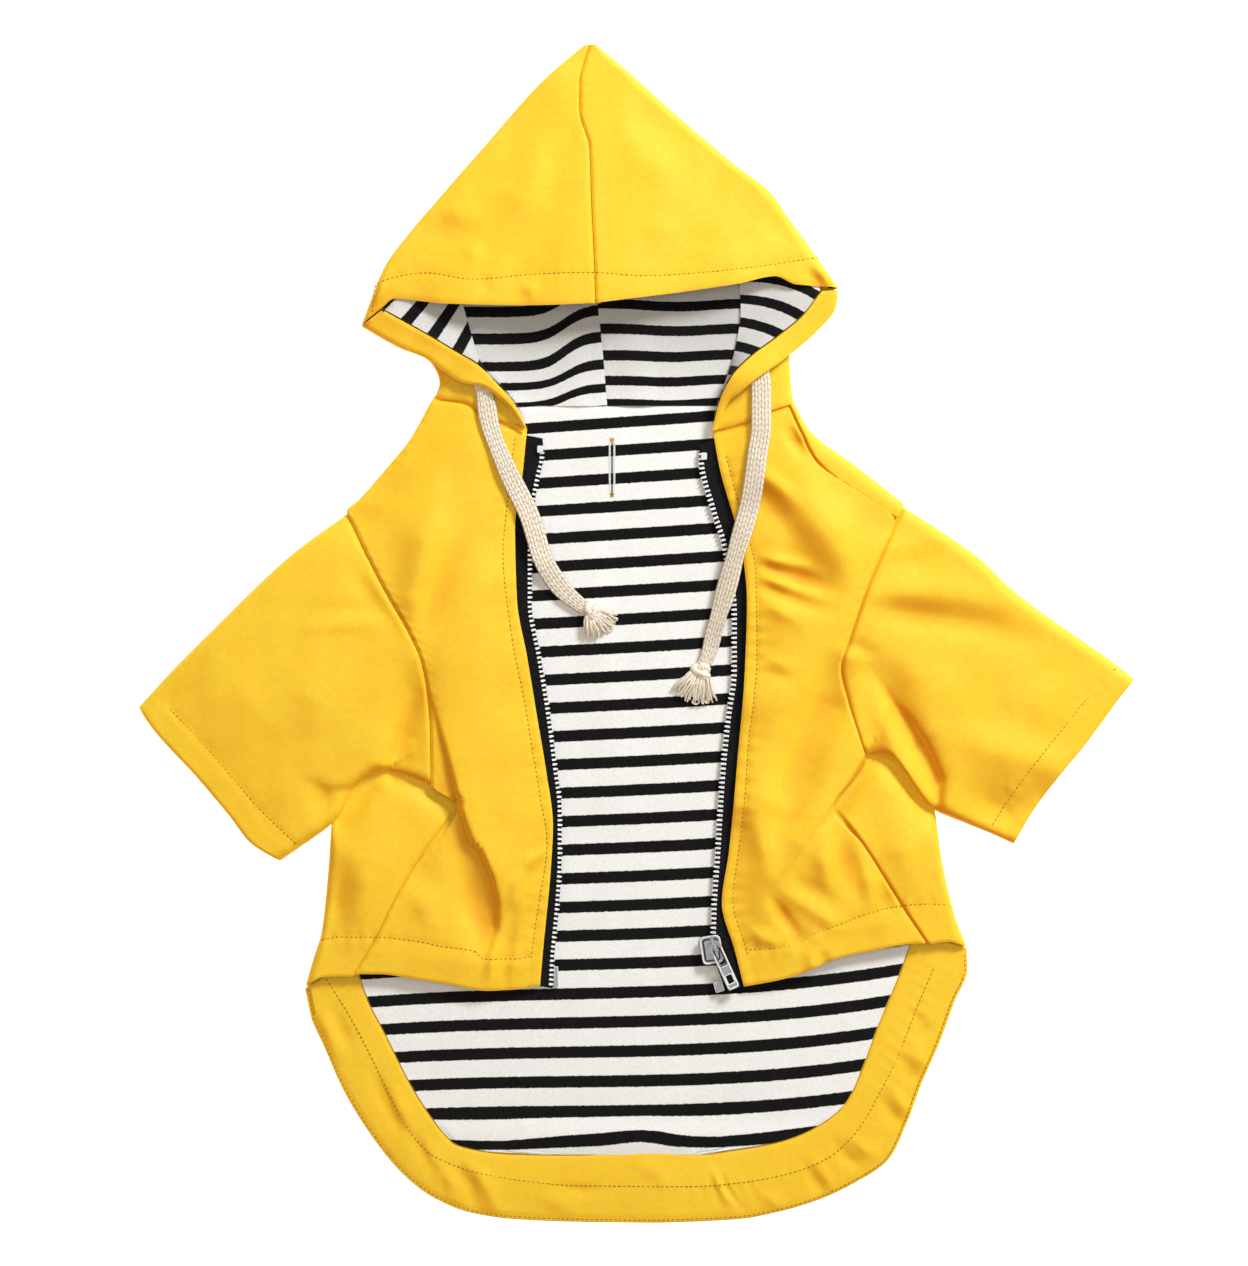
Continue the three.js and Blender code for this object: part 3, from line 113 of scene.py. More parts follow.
OUTLINES = tables("""
hood_slope_left: 583,44 539,83 486,143 440,196 406,236 385,265 369,303 361,324
hood_slope_right: 597,44 628,70 672,110 738,166 771,192 788,216 814,252 839,287
hood_centre: 590,43 580,85 580,110 590,149 592,206 595,269 596,305
mouth_left: 361,324 382,308 395,299 449,305 539,307 596,305
mouth_right: 839,287 796,285 775,277 738,285 672,295 596,305
cheek_out_left: 361,326 398,347 428,360 439,382 434,398
cheek_out_right: 839,290 837,305 829,319 790,352 792,391 795,403
cheek_in_left: 381,311 411,328 427,337 454,353 480,369 500,388 513,403 525,427
cheek_in_right: 822,291 804,316 775,340 751,358 731,379 720,403 714,430
neck_left: 434,399 462,402 497,421 526,430
neck_right: 795,404 772,412 740,426 713,434
facing_up_left: 382,310 411,326 427,335 454,351 480,367 500,387 514,403 527,428
facing_up_right: 821,292 804,315 775,339 751,357 731,378 719,403 712,431
facing_low_left: 363,326 398,346 427,359 435,365 465,384 480,386 496,396 512,411 523,427
facing_low_right: 838,292 836,305 828,319 782,361 754,381 740,393 729,402 717,430
valley_left: 462,302 470,330 481,362 500,383 516,401
valley_right: 740,290 741,310 736,345 727,376 718,400
front_out_left: 434,400 409,440 385,469 358,500 346,511 352,521 367,553 386,590 411,634 423,663 429,701
  431,740 431,786 457,806 414,868 391,908 377,937 355,974
front_out_right: 787,407 800,432 815,461 895,521 881,553 867,586 849,640 841,668 848,701 862,746 866,760
  834,807 863,845 892,891 902,907 926,943
front_in_left: 527,433 522,478 515,528 517,600 527,656 537,716 546,770 553,826 551,866 543,951 540,986
front_in_right: 713,435 720,469 734,518 742,550 747,600 745,667 737,766 729,852 722,903 735,951 744,987
front_hem_left: 355,975 380,975 416,980 449,985 487,991 515,990 540,986
front_hem_right: 926,944 909,945 875,951 840,958 818,967 785,979 744,987
sleeve_top_left: 345,511 288,557 217,625 170,672 138,707
sleeve_top_right: 905,504 982,560 1012,589 1116,664 1135,679
sleeve_low_left: 430,787 383,771 353,788 338,817 299,848 280,861
sleeve_low_right: 867,757 880,755 931,808 967,824 992,834 1014,844
cuff_left: 138,707 153,729 197,777 229,815 251,843 280,861
cuff_right: 1135,679 1122,695 1084,746 1059,776 1031,815 1014,844
armhole_left: 345,511 366,553 385,590 410,634 422,663 428,701 430,740 430,787
armhole_right: 905,504 893,528 882,553 868,586 850,640 842,668 849,701 863,746 867,757
side_fold_left: 338,819 328,866 321,932 313,958 305,986
side_fold_right: 931,810 942,857 956,917 967,946
underarm_left: 456,808 430,789 396,775 383,773 362,793 339,819
underarm_right: 835,808 868,761 880,758 931,810
side_seam_left: 456,808 413,869 390,909 376,938 354,974
side_seam_right: 835,808 864,846 893,892 903,908 927,943
side_hem_left: 354,975 326,977 306,986
side_hem_right: 927,943 947,942 967,946
shoulder_fold: 794.8,402.3 811,430 858,466 905,503
shoulder_seam: 788,403.9 801,432 816,461 896,520
scoop_left: 304,990 309,1016 323,1048 342,1091 368,1134 400,1174 430,1198 467,1214 510,1221 575,1224
  655,1225
scoop_right: 968,950 969,970 956,1003 941,1044 923,1085 908,1125 890,1161 857,1184 819,1202 783,1213
  742,1221 691,1224 655,1225
border_left: 352,960 368,1005 382,1032 406,1080 422,1107 446,1139 456,1147 508,1156 575,1157 655,1152
border_right: 916,932 900,978 880,1026 864,1069 847,1105 819,1128 783,1143 742,1151 704,1155 655,1152
teeth_left: 541,438 542,456 537,480 533,504 530,560 530,603 539,656 548,712 555,766 560,810 560,860 557,910
  552,966 551,989
teeth_right: 701,444 701,459 713,510 724,545 734,614 734,670 728,719 723,768 720,810 717,860 714,903 713,940
  718,965 728,991
cord_left: 481,380 485,396 490,424 507,469 530,517 544,561 563,590 582,606 588,609.9
cord_right: 759,370 761,392 761,426 757,455 751,498 736,553 726,590 716,625 708,656 703.2,665.5
casing: 372,312.5 376,286.5 426,273.5 474,280.5 539,275.5 592,274.5 638,277.5 707,273.5 771,265.5 800,260.5
  820,257.5
fly_left: 515,437.5 510,477.5 506,516 503,551 511,631 525,704 532,747 540,796 547,843 539,903 532,951
  529,988
fly_right: 726,455 740,509.5 756,574 757,656 754,698 749,740 745,795.5 739,849.5 733,899.5 746,947.5
  756,984.5
hem_left: 321,940 340,937 376,937 416,941 441,946 474,951 484,959 512,959 536,955
hem_right: 744,950.5 772,948 794,945 815,933 840,924 866,914 899,906 925,904 949,905
cuff_stitch_left: 159,698 188,727 223,766 261,810 299,846
cuff_stitch_right: 1116,668 1090,695 1059,733 1031,768 1018,786 992,826
scoop_stitch: 325,979 350,1019 371,1059 392,1102 414,1139 433,1157 473,1173 521,1182 575,1187 691,1188
  742,1184 793,1174 829,1159 857,1133 880,1095 900,1054 918,1008 936,966
bars_left: 421.6,303.9,0 407,321.5,0 448.8,312.1,1 440.8,325.3,1 432,335.5,1 464.2,334.1,2 459.2,350.1,2
  483.2,367.7,3 504,389.5,4
bars_right: 775.6,277.3,0 800.8,289.5,0 820,296.3,0 743.4,300.9,1 760.4,300.3,1 773.4,307.9,1 788.6,307.5,1
  801,318.5,1 740.4,320.9,2 750.4,324.7,2 760.4,320.9,2 771,328.5,2 778.6,336.3,2 748.8,346.9,3
  755.8,353.1,3 735,371.9,4 722,395.5,5
""")

# Heights of the top layer, and of the stripes over the back lining: (x, y, value, reach)
SPOTS = tables("""
heights: 527,433,6.3,9 518,480,6.2,10 515,540,6.2,12 520,620,6.2,12 533,700,6.2,12 548,780,6.2,12
  552,850,6.2,12 545,930,6.2,10 540,986,6.2,10 713,436,6.3,9 729,500,6.2,12 745,570,6.2,12 746,650,6.2,12
  738,750,6.2,12 729,850,6.2,10 722,903,6.2,10 733,945,6.2,9 744,987,6.2,9 434,402,5.5,10 412,436,4.4,9
  385,469,4.2,9 350,507,5.5,9 450,470,10.5,18 455,560,12,20 470,650,12,20 485,740,12.5,20 495,830,12,18
  490,920,9.5,16 425,945,9,16 400,900,9.5,14 430,985,8,10 395,580,10,14 425,690,10,12 430,780,10.5,10
  290,620,11,22 240,680,10.5,22 190,720,9.5,16 160,712,8,12 330,700,11.5,22 270,790,10.5,18 330,790,10,14
  245,820,8.5,12 340,570,10,16 370,850,9.5,14 335,900,9,14 330,960,8,12 420,820,9,9 800,440,9,10
  850,470,8.5,12 900,510,7,10 780,480,11,16 810,570,13,20 800,660,12.5,20 795,760,12,18 790,850,11.5,16
  800,930,9.5,14 850,900,10,14 860,950,8,10 790,978,7.5,10 870,570,10.5,12 845,660,10,12 862,745,10.5,10
  960,590,10.5,20 1040,660,10.5,20 1100,690,8.5,14 930,680,11.5,20 990,750,11,18 1050,760,8.5,12
  970,810,10,14 900,760,10.5,12 1015,820,8.5,12 900,850,9.5,14 935,910,8.5,12 950,940,7.5,10 870,800,9.5,9
  590,46,3.6,8 586,75,6.5,12 588,120,10,16 590,180,14,20 593,240,18,20 596,300,21,18 530,110,6.5,12
  490,160,8,14 440,215,9,14 500,225,13,20 420,265,11,14 480,290,17,16 395,300,10.5,10 368,318,7.2,7
  660,110,7,12 720,165,8.5,14 770,205,9,12 690,215,13.5,20 790,250,11,14 710,280,17,16 790,280,12.5,10
  832,287,7.2,7 400,338,6.6,9 440,362,6.8,9 470,385,7.2,9 505,410,6.8,9 820,312,6.6,9 780,350,7.2,10
  760,385,8,10 728,410,6.8,9
stripe_shift: 640,421.5,0,14 640,535.5,1,16 640,593.5,2,16 640,707.5,2.5,16 640,765.5,2.2,16 640,851.5,2,16
  640,937.5,1.2,16 640,1023.5,0.9,16 640,1083.5,0,14 640,1139.5,0,12 560,529.5,-1.5,12 600,529.5,-0.5,12
  680,529.5,2.5,12 720,529.5,3.6,12 560,789.5,-0.8,12 600,789.5,0.7,12 680,789.5,3.7,12 700,789.5,4.2,12
  400,999.5,-2.6,14 450,999.5,-1,14 500,999.5,0,14 560,999.5,1.5,14 700,999.5,2,14 760,999.5,3.5,14
  820,999.5,7,14 880,999.5,11.5,14 450,1139.5,-1.5,12 500,1139.5,-3,12 560,1139.5,-1.5,12 700,1139.5,-1,12
  760,1139.5,0,12 380,953.5,-3.5,12 900,953.5,12.5,12
stripe_dips: 636,351.5,-0.5,12 676,355.5,0.6,12 712,363.5,-1.5,10 686,329.5,1.3,12 726,329.5,-0.6,10
""")

# Folds as lines of (x, y, half width, height)
FOLDS = fold_lines("""
440,700,9,0 450,760,9,2.2 466,838,8,3.4 486,876,8,3 500,920,7,0 ; 440,800,6,0 457,840,6,-2.6 472,884,6,-3.2
481,926,5,-2.6 484,965,4,0 ; 420,660,6,0 414,690,6,-2.4 401,733,7,-3 387,768,6,0 ; 750,455,8,0 787,499,8,2.4
836,553,9,2 857,604,9,0 ; 770,545,9,0 805,575,9,-2.6 845,600,8,0 ; 842,650,9,0 825,701,9,-3.2 804,726,9,-3.2
787,775,8,-2 776,803,7,0 ; 835,800,9,0 800,845,8,2.6 772,890,7,0 ; 863,650,7,0 881,679,7,-3 895,712,7,-4
916,747,7,-4 937,790,6,0 ; 905,690,8,0 925,735,8,3 942,780,7,0 ; 300,660,14,0 250,700,14,2 205,745,12,0
""")
CREASES = fold_lines("""
440,470,5,0 427,540,6,2.2 416,600,6,2.2 412,640,5,0 ; 500,470,5,0 470,530,6,-1.4 436,600,6,-1.4 424,640,5,0
; 505,556,4,0 466,610,5,1 432,660,4,0 ; 549,848,2,0 531,860,2.2,1.3 518,885,2.4,1.1 511,910,2,0 ;
544,858,2,0 528,872,2,-1.2 520,900,2,0 ; 516,900,2.5,0 508,940,2.5,-1.2 500,985,2,0 ; 497,935,2,0
492,960,2,1.2 489,988,2,0 ; 520,945,1.8,0 514,965,1.8,1 508,988,1.8,0 ; 405,880,4,0 425,905,5,1.3
440,935,4,0 ; 430,820,5,0 420,870,6,-1 415,930,5,0 ; 350,840,5,0 362,880,5,1.2 358,935,5,0 ; 386,800,5,0
372,860,6,1.6 352,925,5,0 ; 340,860,4,0 336,905,4,-1 330,960,4,0 ; 300,628,3,0 345,622,3.4,0.9 396,622,3,0 ;
300,618,3,0 345,612,3.4,-0.7 396,610,3,0 ; 350,535,5,0 330,600,8,0.9 300,670,8,0.8 260,740,7,0 ; 360,640,6,0
320,700,9,1.2 300,770,7,0 ; 310,775,4,0 322,800,4,-1.4 318,830,3,0 ; 342,560,3,0 372,600,3.5,-0.9
400,640,3,0 ; 758,556,1.6,0 774,560,1.9,1.3 800,566,2.4,0.9 828,578,2.6,0 ; 757,566,1.5,0 775,571,1.8,-1.2
804,578,2.4,-0.9 832,590,2.6,0 ; 757,575,1.5,0 776,582,1.8,1.2 806,592,2.4,0.8 836,602,2.6,0 ; 758,586,1.5,0
778,594,1.9,-1.1 808,606,2.6,-0.7 840,616,2.8,0 ; 758,600,1.8,0 780,612,2.4,0.8 812,628,3,0 ; 758,660,1.8,0
776,662,2.2,0.5 798,668,2.6,0 ; 758,672,1.8,0 778,676,2.2,-0.5 800,684,2.6,0 ; 746,466,2.4,0 764,476,3,1.3
784,492,3.2,1.2 800,512,3.4,0 ; 742,482,2.4,0 762,500,4,-0.8 790,528,5,-0.8 820,556,5,0 ; 786,424,2.2,0
794,440,2.4,-1.5 806,462,2.4,0 ; 796,420,2,0 804,438,2.2,1 812,456,2,0 ; 842,655,5,0 826,705,7,-2.8
806,760,7,-3.4 786,820,7,-2.8 776,880,5,0 ; 765,740,5,0 762,800,6,1.2 752,860,5,0 ; 745,800,3,0
765,850,4,0.8 770,890,3,0 ; 768,892,2,0 782,914,2.2,-1.6 800,940,2.2,-0.8 806,952,2,0 ; 776,886,2.2,0
800,902,2.8,0.9 832,922,3,0.8 846,930,2.4,0 ; 790,880,2.4,0 812,888,3,-0.8 842,906,2.8,0 ; 822,826,3,0
824,862,3.4,1.4 830,902,3,0 ; 840,822,3,0 848,862,3.4,-1.6 856,905,3,0 ; 862,850,2.8,0 868,880,3,1.2
872,912,2.8,0 ; 880,880,2.4,0 884,900,2.6,-1 886,916,2.4,0 ; 892,800,5,0 902,850,6,1.4 920,910,5,0 ;
745,925,2,0 762,938,2.4,1 790,948,2.2,0 ; 822,950,2,0 826,966,2,-1.3 820,980,2,0 ; 812,946,2,0 812,964,2,0.9
806,984,2,0 ; 776,430,4,0 800,470,6.5,1.2 822,515,8,1.5 842,556,7,1.2 856,592,5,0 ; 752,452,5,0
768,492,7,-0.8 786,536,9,-1.1 808,580,9,-1 838,618,7,0 ; 945,728,6,0 985,745,7,1.4 1030,758,7,1.6
1066,770,6,1 ; 955,800,7,0 985,806,9,-2.2 1010,816,9,-2.6 1035,800,7,-1.4 ; 868,672,3,0 884,716,4,1.8
906,766,4.4,2.2 926,804,3.6,1 ; 866,598,4,0.4 900,592,5,1.5 960,594,6,1.3 1030,614,6,0 ; 866,612,4,0
910,616,5,-1.5 980,626,6,-1.5 1050,648,6,0 ; 880,566,3,0 915,560,4,-0.9 955,546,4,0 ; 900,650,6,0
940,690,8,1.2 975,735,7,0 ; 1000,690,8,0 1040,700,9,0.9 1080,690,8,0 ; 842,648,2.4,0 858,648,2.6,-0.9
880,655,2.6,0 ; 572,100,4,0 556,160,6,-1.2 548,220,6,0 ; 560,130,5,0 520,200,9,1.4 505,255,7,0 ; 402,232,4,0
440,226,5,-0.7 480,240,4,0 ; 420,222,4,0 455,214,5,0.8 500,222,4,0 ; 480,276,2.4,0 486,286,2.4,-0.5
492,300,2,0 ; 524,280,2.4,0 530,290,2.4,0.8 536,302,2,0 ; 470,268,3,0 474,255,3,0.7 470,240,3,0 ;
612,110,5,0 650,160,7,0.9 690,220,6,0 ; 680,235,3,0 712,245,3.4,-0.6 760,240,4,0 ; 700,262,3,0 712,246,3,0.8
730,228,3,0 ; 762,200,5,0 780,226,5,-1.1 798,252,4,0 ; 660,190,6,0 660,230,7,1 655,262,5,0 ; 812,262,2,0
824,274,2.2,1.2 836,288,2,0 ; 804,268,2,0 816,282,2.2,-1 826,292,2,0 ; 386,262,3,0 378,282,3,1 370,306,2.6,0
""")
FACING_CREASES = fold_lines("""
712.4,1168.7,1.6,0 719.6,1183.9,1.7,0.9 731,1200.7,2,0.7 741,1212.5,2,0 ; 719.2,1172.1,1,0
726,1189.5,1.1,-1.1 739.4,1207.5,1.4,-0.5 744.8,1213.3,1.4,0 ; 461.6,1157.9,2.4,0 483.8,1183.1,2.6,0.9
496.6,1209.1,2.6,0.5 ; 450.6,1159.5,2.2,0 468.4,1185.1,2.4,-0.8 477.6,1212.5,2.4,-0.4 ; 433.8,1156.1,2.2,0
450.2,1183.1,2.2,0.7 456.6,1208.3,2.2,0 ; 405.2,1126.7,2.4,0 420.8,1149.5,2.4,-0.7 432.2,1178.9,2.4,0 ;
415.2,1133.5,2,0 429.6,1152.7,2,0.5 440.6,1170.5,2,0 ; 368.2,1065.3,2.6,0 380.8,1094.7,2.8,-1
395.4,1122.1,2.8,-0.9 406,1140.9,2.6,0 ; 383.2,1077.9,2.6,0 399.8,1111.5,3,0.8 415.2,1138.9,2.6,0 ;
315.6,1003.7,2.4,0 326,1027.3,2.4,0.8 342.8,1065.3,2.4,0 ; 330.2,1003.7,2.4,0 340.8,1031.5,2.4,-0.7
355.6,1061.1,2.4,0 ; 553.4,1185.7,1.8,0 582.8,1192.3,1.8,-0.6 611.4,1190.7,1.8,0 ; 532.2,1194.1,3,0
557.6,1204.9,3,0.6 582.8,1212.5,3,0 ; 624.8,1157.9,3,0 654.4,1172.5,3,0.5 675.4,1195.7,3,0 ;
759.6,1190.7,2,0 773,1202.1,2,0.6 784.8,1210.9,2,0 ; 800,1157.9,2,0 815.2,1183.1,2,-0.7 826,1200.7,2,0 ;
811,1154.5,2,0 827,1178.9,2,0.7 836.2,1194.1,2,0 ; 828.6,1136.7,2.2,0 848,1159.5,2.2,-0.8 867.4,1173.9,2.2,0
; 845.4,1131.7,2.2,0 864.8,1150.3,2.2,0.8 885,1161.1,2.2,0 ; 878.2,1094.7,2.2,0 894.2,1118.3,2.2,-0.8
910.2,1133.5,2.2,0 ; 885.8,1082.9,2.2,0 902.8,1105.7,2.2,0.8 917,1119.1,2.2,0 ; 896,1052.7,2.4,0
911.2,1076.1,2.4,-0.7 929.6,1087.9,2.4,0 ; 904.4,1039.9,2.4,0 920.4,1060.1,2.4,0.7 938,1070.3,2.4,0 ;
909.4,1006.3,2.4,0 923,1029.9,2.4,-0.6 938,1040.9,2.4,0
""")

# Edges where a fold hangs over what lies below it: (x, y, drop), the low side, softness and reach
LEDGES = list(zip(fold_lines("""
416,686,0 407,708,3.4 398,734,5.8 391,756,6.4 386,774,4 ; 424,676,0 436,715,1.6 445,750,3.4 453,780,5
462,816,6.4 470,840,7 480,851,7 491,876,6.6 497,903,5.6 497,930,3.8 487,956,0 ; 296,775,0 330,789,1.4
353,787,2.6 372,777,3 386,769,2.6 ; 868,752,3.4 860,767,5 840,797,3.6 812,834,2.4 788,868,1.8 768,894,0.6 ;
868,662,0 892,698,2.2 911,722,4.2 930,754,6 941,780,6.4 940,808,4.4
"""), (1, -1, -1, 1, -1), (1.3, 0.5, 0.8, 0.5, 1.0), (10.0, 13.0, 9.0, 8.0, 8.0)))


# Lines, patches and heights
def smooth(ts, vs):
    """A value through table points, with no overshoot."""
    ts, vs = np.asarray(ts, float), np.asarray(vs, float)
    h = np.maximum(np.diff(ts), 1e-9)
    slope = np.diff(vs) / h
    tangent = np.zeros(len(ts))
    tangent[0], tangent[-1] = slope[0], slope[-1]
    for i in range(1, len(slope)):
        if slope[i] * slope[i - 1] > 0:
            tangent[i] = 2 / (1 / slope[i] + 1 / slope[i - 1])

    def value(t):
        t = np.asarray(t, float)
        i = np.clip(np.searchsorted(ts, t, side="left") - 1, 0, len(h) - 1)
        u = np.clip((t - ts[i]) / h[i], 0, 1)
        a, b = 2 * u**3 - 3 * u**2 + 1, u**3 - 2 * u**2 + u
        c, d = -2 * u**3 + 3 * u**2, u**3 - u**2
        return a * vs[i] + b * h[i] * tangent[i] + c * vs[i + 1] + d * h[i] * tangent[i + 1]

    return value


def line(rows, by="length", shift=(0.0, 0.0)):
    """An edge line in plan as a function of t from 0 to 1."""
    p = np.asarray(rows, float)[:, :2]
    step = np.diff(p, axis=0)
    run = np.hypot(step[:, 0], step[:, 1]) if by == "length" else np.maximum(-step[:, 1], 1)
    ts = np.concatenate([[0], np.cumsum(run)])
    ts = ts / ts[-1]
    fx, fy = smooth(ts, p[:, 0] + shift[0]), smooth(ts, p[:, 1] + shift[1])
    return lambda t: np.stack([fx(t), fy(t)], -1)


def patch(top, bottom, left, right):
    """Plan points between four edge lines; s runs across, t runs down."""
    c00, c10, c01, c11 = top(0), top(1), bottom(0), bottom(1)

    def at(s, t):
        s, t = np.broadcast_arrays(np.asarray(s, float), np.asarray(t, float))
        sk, tk = s[..., None], t[..., None]
        down = (1 - tk) * top(s) + tk * bottom(s)
        across = (1 - sk) * left(t) + sk * right(t)
        bent = (1 - sk) * (1 - tk) * c00 + sk * (1 - tk) * c10 + (1 - sk) * tk * c01 + sk * tk * c11
        return down + across - bent

    return at


def between(a, b):
    """A straight edge line from point a to point b."""
    a, b = np.asarray(a, float), np.asarray(b, float)
    return lambda s: a + (b - a) * np.asarray(s, float)[..., None]


def moved(rows, dx, dy):
    return [(r[0] + dx, r[1] + dy, *r[2:]) for r in rows]


def sample(rows, count, start=0.0, end=1.0, shift=(0, 0)):
    return [tuple(p) for p in line(rows, shift=shift)(np.linspace(start, end, count + 1))]


def size(v):
    return np.linalg.norm(v, axis=-1)


def unit(v):
    return v / np.maximum(size(v), 1e-9)[..., None]


def run_along(p):
    return np.concatenate([[0], np.cumsum(size(np.diff(p, axis=0)))])


def sideways(p):
    """Directions to the left of travel along a line of points."""
    d = unit(np.gradient(p, axis=0))
    return np.column_stack([-d[:, 1], d[:, 0]])


def lapped(rows, by):
    """A line moved to the left of its direction of travel."""
    p = np.array(sample(rows, 59))
    return [tuple(q) for q in p + sideways(p) * by]


def raised(xy, z):
    return np.concatenate([xy, np.broadcast_to(z, xy.shape[:-1])[..., None]], -1)


def bell(d, reach):
    return np.exp(-((d / reach) ** 2))


def fading(d, soft):
    """From 1 where d is well below zero to 0 where it is well above."""
    return 1 / (1 + np.exp(np.minimum(d / soft, 700)))


def blurred(rows, x, y):
    """The value of a table of (x, y, value, reach) at points in plan."""
    total, weight = np.zeros(x.shape), np.zeros(x.shape)
    for px, py, value, reach in rows:
        far = ((x - px) ** 2 + (y - py) ** 2) / (2 * reach**2)
        w = np.exp(-far) + 1e-4 / (1 + far * far)
        total += w * value
        weight += w
    return total / weight


def along(rows, x, y):
    """Distance to a line of points, how far along it, its other columns there, and the side."""
    p = np.asarray(rows, float)
    best = np.full(x.shape, np.inf)
    run, side = np.zeros(x.shape), np.ones(x.shape)
    extra = np.zeros(x.shape + (p.shape[1] - 2,))
    done = 0.0
    for a, b in zip(p[:-1], p[1:]):
        d = b[:2] - a[:2]
        square = float(d @ d)
        u = np.clip(((x - a[0]) * d[0] + (y - a[1]) * d[1]) / square, 0, 1)
        far = np.hypot(x - a[0] - u * d[0], y - a[1] - u * d[1])
        near = far < best
        best = np.where(near, far, best)
        run = np.where(near, done + u * math.sqrt(square), run)
        side = np.where(near, np.sign(d[0] * (y - a[1]) - d[1] * (x - a[0])), side)
        extra = np.where(near[..., None], a[2:] + u[..., None] * (b[2:] - a[2:]), extra)
        done += math.sqrt(square)
    return best, run, extra, side


def close_to(rows, x, y, reach):
    p = np.asarray(rows, float)
    low, high = p[:, :2].min(0) - reach, p[:, :2].max(0) + reach
    return (x > low[0]) & (x < high[0]) & (y > low[1]) & (y < high[1])


WAVES = [
    (math.cos(a) / w, math.sin(a) / w, p, h)
    for a, w, p, h in zip(
        rng.uniform(0, math.tau, 26), rng.uniform(16, 70, 26), rng.uniform(0, math.tau, 26), rng.uniform(0.4, 1, 26)
    )
]


def ripple(x, y):
    """Soft unevenness of lying cloth, about 1 mm from top to bottom at full strength."""
    z = np.zeros(x.shape)
    for kx, ky, phase, high in WAVES:
        z += high * np.sin(math.tau * (kx * x + ky * y) + phase)
    return z / 9


def folds(lines, x, y, reach):
    """Added height of folds whose rows are (x, y, half width, height)."""
    z = np.zeros(x.shape)
    for rows in lines:
        near = close_to(rows, x, y, reach)
        if near.any():
            d, _, e, _ = along(rows, x[near], y[near])
            z[near] += e[..., 1] * np.exp(-(d**2) / (2 * e[..., 0] ** 2))
    return z


FAR = 1000.0
CREASE_FAR = 22.0
GROOVE_FAR = 14.0


def top_height(x, y):
    """Height of the outside of the top layer, with its finer creases and pressed stitch lines."""
    z = blurred(SPOTS["heights"], x, y) + folds(FOLDS, x, y, FAR) + CREASE_GAIN * folds(CREASES, x, y, CREASE_FAR)
    for rows, low, soft, reach in LEDGES:
        near = close_to(rows, x, y, 3.5 * reach)
        if near.any():
            d, _, e, side = along(rows, x[near], y[near])
            t = d * side * low
            z[near] -= e[..., 0] * fading(-t, soft) * np.exp(-np.maximum(t, 0) / reach)
    z += 0.5 * ripple(x, y)
    for rows, pucker in STITCH_GROOVES:
        near = close_to(rows, x, y, GROOVE_FAR)
        if near.any():
            d, run, _, _ = along(rows, x[near], y[near])
            wave = np.sin(math.tau * run / 7.3 + 1.3 * np.sin(run / 17)) * np.sin(run / 23 + 0.7)
            z[near] += pucker * wave * bell(d, 5.5) - 0.32 * bell(d, 0.9)
    return np.maximum(z, LOWEST_TOP)


TOP_STITCHES = {
    "casing": (40, 0.12), "fly_left": (40, 0.2), "fly_right": (40, 0.22), "hem_left": (30, 0.16),
    "hem_right": (30, 0.16), "cuff_stitch_left": (24, 0.1), "cuff_stitch_right": (24, 0.1),
}
STITCH_GROOVES = [(sample(OUTLINES[key], count - 1), pucker) for key, (count, pucker) in TOP_STITCHES.items()]


# Meshes
def normals_of(grid, ring=False):
    across = np.roll(grid, -1, 1) - np.roll(grid, 1, 1) if ring else np.gradient(grid, axis=1)
    return unit(np.cross(np.gradient(grid, axis=0), across))


def grid_faces(rows, cols, ring, start, flip):
    i, j = np.meshgrid(np.arange(rows - 1), np.arange(cols if ring else cols - 1), indexing="ij")
    k = (j + 1) % cols
    f = np.stack([i * cols + j, (i + 1) * cols + j, (i + 1) * cols + k, i * cols + k], -1).reshape(-1, 4) + start
    return f[:, ::-1] if flip else f


def make_mesh(name, points, faces, materials, uv=None, slots=None, smooth_angle=50, painted_shade_amount=None):
    mesh = bpy.data.meshes.new(name)
    mesh.from_pydata((np.asarray(points, float) * MM).tolist(), [], [list(map(int, f)) for f in faces])
    mesh.validate()
    for m in materials:
        mesh.materials.append(m)
    if slots is not None:
        mesh.polygons.foreach_set("material_index", np.asarray(slots, np.int32))
    if uv is not None:
        layer = mesh.uv_layers.new(name="cloth")
        loops = np.zeros(len(mesh.loops), np.int32)
        mesh.loops.foreach_get("vertex_index", loops)
        layer.data.foreach_set("uv", np.asarray(uv, float)[loops].reshape(-1))
    # A point attribute holding the amount of painted shade that the cloth materials darken and tint by.
    shade = mesh.attributes.new("painted_shade_amount", "FLOAT", "POINT")
    if painted_shade_amount is not None:
        shade.data.foreach_set("value", np.asarray(painted_shade_amount, np.float32))
    mesh.polygons.foreach_set("use_smooth", np.ones(len(mesh.polygons), bool))
    mesh.set_sharp_from_angle(angle=math.radians(smooth_angle))
    mesh.update()
    obj = bpy.data.objects.new(name, mesh)
    bpy.context.scene.collection.objects.link(obj)
    return obj


def outward(obj):
    """Turns all faces of a closed mesh outwards."""
    mesh = bmesh.new()
    mesh.from_mesh(obj.data)
    bmesh.ops.recalc_face_normals(mesh, faces=mesh.faces)
    mesh.to_mesh(obj.data)
    mesh.free()
    return obj


